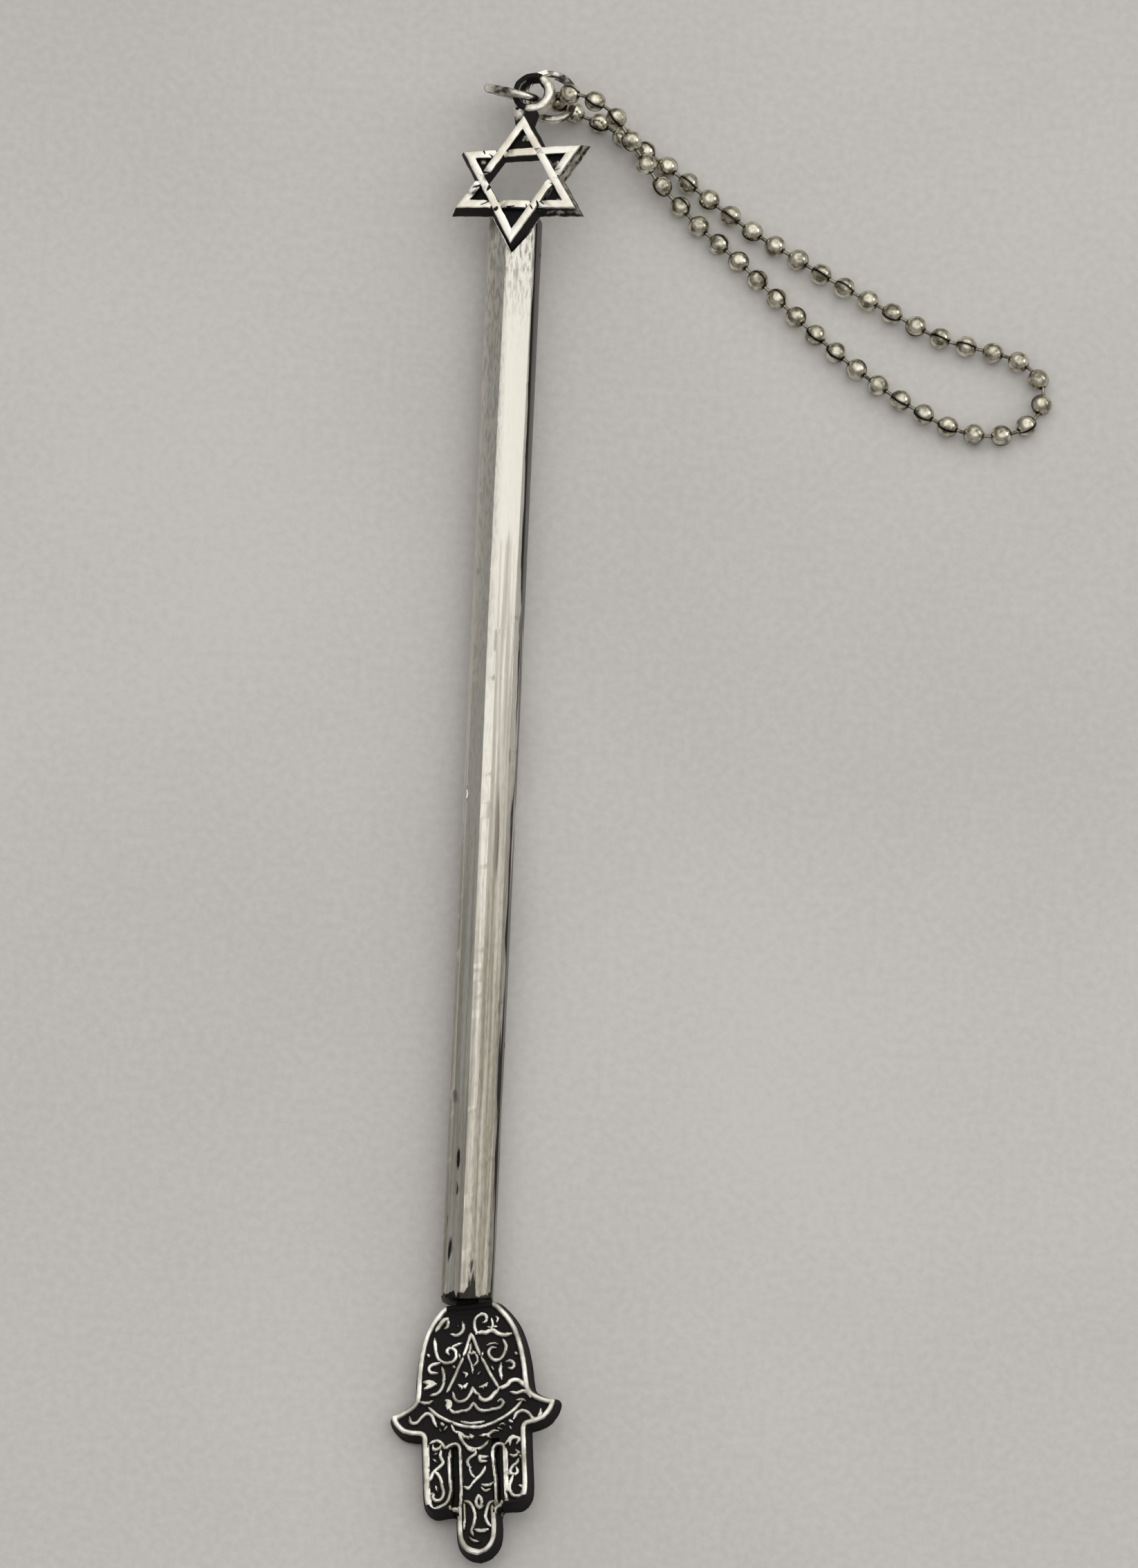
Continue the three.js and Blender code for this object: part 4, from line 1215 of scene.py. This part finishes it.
def chain_axes(centres):
    """Each bead's own axis, turned until the pins at its two ends lean alike."""
    def at(items, bead):
        return items[bead % BEAD_COUNT]

    axes = [(at(centres, bead + 1) - at(centres, bead - 1)).normalized() for bead in range(BEAD_COUNT)]
    for _ in range(SETTLING_ROUNDS):
        pins = [
            (at(centres, bead + 1) - at(centres, bead)
             - (at(axes, bead) + at(axes, bead + 1)) * HOLE_MIDDLE).normalized()
            for bead in range(BEAD_COUNT)
        ]
        leans = [(pins[bead] + pins[bead - 1]).normalized() for bead in range(BEAD_COUNT)]
        axes = [(lean + axis).normalized() for lean, axis in zip(leans, axes)]
    return axes


def arc(radius, start, sweep, steps):
    """Points round a circle, by their angle from its pole."""
    angles = [start + sweep * step / steps for step in range(steps + 1)]
    return [(math.sin(angle) * radius, math.cos(angle) * radius) for angle in angles]


def bead_shell():
    """Hollow bead along Z, bent from a strip: a hole at each pole and a seam from hole to hole."""
    bm = bmesh.new()
    dirt_and_shade = value_layer(bm, "dirt_and_shade")
    outer, inner = BEAD_RADIUS, BEAD_RADIUS - BEAD_WALL
    outer_end, inner_end = math.asin((BEAD_HOLE + BEAD_LIP) / outer), math.asin(BEAD_HOLE / inner)
    profile = arc(outer, outer_end, math.pi - outer_end * 2, 14)
    profile += arc(inner, math.pi - inner_end, -(math.pi - inner_end * 2), 8)
    spun(bm, profile, 0, math.radians(360 - SEAM_DEGREES), 26)
    bmesh.ops.holes_fill(bm, edges=[edge for edge in bm.edges if len(edge.link_faces) == 1], sides=30)
    seam = math.radians(360 - SEAM_DEGREES / 2)
    for vert in bm.verts:
        heading = math.atan2(vert.co.y, vert.co.x) % math.tau
        to_axis = math.hypot(vert.co.x, vert.co.y)
        to_seam = min(abs(heading - seam), math.tau - abs(heading - seam)) * to_axis
        # Painted shade: the bead's inside is dark throughout, and the seam and hole rims are darkened as dirt
        # and shade
        dark = max(0, 1 - (to_seam - 0.06) / 0.12, 1.25 - (to_axis - BEAD_HOLE) / 0.22)
        vert[dirt_and_shade] = 1 if vert.co.length < outer - 0.02 else min(1, dark)
    return bm


def bead_pin(length, place):
    """Headed pin along Z from inside its own bead to the next one."""
    part = bmesh.new()
    dirt_and_shade = value_layer(part, "dirt_and_shade")
    profile = [
        (0, -PIN_BACK), (PIN_HEAD, -PIN_BACK), (PIN_HEAD, 0), (PIN_RADIUS, 0.08), (PIN_RADIUS, length - 0.2),
        (PIN_HEAD, length), (PIN_HEAD * 0.6, length + PIN_HEAD * 0.75), (0, length + PIN_HEAD),
    ]
    spun(part, profile, 0, math.tau, 12, closed=False)
    bmesh.ops.remove_doubles(part, verts=part.verts, dist=0.0005)
    # Pins painted darker, as dirt and the shade between the beads
    for vert in part.verts:
        vert[dirt_and_shade] = 0.6
    bmesh.ops.transform(part, matrix=place, verts=part.verts)
    return part


def make_bead(number, node, body, shell, centres, axes, material):
    centre, axis = centres[number], axes[number]
    target = centres[(number + 1) % BEAD_COUNT] - axes[(number + 1) % BEAD_COUNT] * HOLE_MIDDLE
    root = centre + axis * (INNER_REACH - PIN_ROOT)
    pin_line = target - root
    bm = shell.copy()
    roll = random.Random(number * 7 + 3).uniform(0.05, 1.25) * math.pi
    stand = Matrix.Translation(centre) @ axis.to_track_quat("Z", "Y").to_matrix().to_4x4()
    bmesh.ops.transform(bm, matrix=stand @ Matrix.Rotation(roll, 4, "Z"), verts=bm.verts)
    place = Matrix.Translation(root) @ pin_line.to_track_quat("Z", "Y").to_matrix().to_4x4()
    take_in(bm, bead_pin(pin_line.length + PIN_REACH, place))
    settle(f"{node}_ball", bm, TABLE, material, body, node, crease=40)


def make_chain(material):
    centres = chain_centres()
    axes = chain_axes(centres)
    shell = bead_shell()
    bodies = frame["record"]["behaviour"]["bodies"]
    for number in range(BEAD_COUNT):
        node = f"chain_bead_{number + 1:02d}"
        body = next(name for name, nodes in bodies.items() if node in nodes)
        make_bead(number, node, body, shell, centres, axes, material)
    shell.free()


# Table, light and camera

def make_table(material):
    bm = bmesh.new()
    bmesh.ops.create_grid(bm, x_segments=1, y_segments=1, size=TABLE_SIZE)
    mesh = bpy.data.meshes.new("table_top")
    bm.to_mesh(mesh)
    bm.free()
    mesh.materials.append(material)
    table = bpy.data.objects.new("table_top", mesh)
    bpy.context.collection.objects.link(table)


def make_room():
    """A room that is brightest overhead and dims towards the horizon."""
    world = bpy.data.worlds.new("room")
    bpy.context.scene.world = world
    world.use_nodes = True
    tree = world.node_tree
    background = tree.nodes["Background"]
    background.inputs["Color"].default_value = (*ROOM_COLOUR, 1)
    direction = tree.nodes.new("ShaderNodeTexCoord")
    upward = tree.nodes.new("ShaderNodeVectorMath")
    upward.operation = "DOT_PRODUCT"
    upward.inputs[1].default_value = ROOM_AXIS.normalized()
    level = tree.nodes.new("ShaderNodeMapRange")
    level.interpolation_type = "SMOOTHSTEP"
    for name, value in zip(("From Min", "From Max", "To Min", "To Max"), (*ROOM_FADE, ROOM_LOW, ROOM_HIGH)):
        level.inputs[name].default_value = value
    tree.links.new(direction.outputs["Generated"], upward.inputs[0])
    tree.links.new(upward.outputs["Value"], level.inputs["Value"])
    tree.links.new(level.outputs["Result"], background.inputs["Strength"])


def make_window():
    """A small bright window to the right, turned towards the table's middle."""
    light = bpy.data.lights.new("window", "AREA")
    light.shape = "RECTANGLE"
    light.size, light.size_y = WINDOW_SIZE
    light.energy = WINDOW_WATTS
    holder = bpy.data.objects.new("window", light)
    bpy.context.collection.objects.link(holder)
    holder.location = WINDOW_PLACE
    holder.rotation_mode = "QUATERNION"
    holder.rotation_quaternion = (-Vector(WINDOW_PLACE)).to_track_quat("-Z", "Y")


def make_camera():
    data = bpy.data.cameras.new("photo_camera")
    data.sensor_width = CAMERA_SENSOR
    data.lens = CAMERA_LENS
    data.clip_start, data.clip_end = CAMERA_CLIP
    camera = bpy.data.objects.new("photo_camera", data)
    bpy.context.collection.objects.link(camera)
    ahead = Vector((-math.sin(CAMERA_LEAN), math.cos(CAMERA_LEAN), 0))
    look = ahead * math.cos(CAMERA_ELEVATION) - Vector((0, 0, math.sin(CAMERA_ELEVATION)))
    distance = PHOTO_HEIGHT / PHOTO_SCALE * MM / CAMERA_SENSOR * CAMERA_LENS
    camera.location = TABLE @ CAMERA_AIM - look * distance
    camera.rotation_mode = "QUATERNION"
    camera.rotation_quaternion = look.to_track_quat("-Z", "Y")
    bpy.context.scene.camera = camera


noise.seed_set(EDGE_SEED)
make_camera()
make_chain(chain_nickel())
make_shaft(polished_shaft_painted_light())
make_star(cast_relief("oxidised_star", WARM_SILVER, BRIGHT_SILVER, STAR_MARKS, STAR))
make_hand(cast_relief("oxidised_hand", DIM_SILVER, BRIGHT_SILVER, [], HAND))
wire = bent_wire_silver()
make_jump_ring(wire)
make_split_ring(wire)
make_table(pale_table())
make_room()
make_window()
bpy.context.scene.view_settings.view_transform = "Standard"
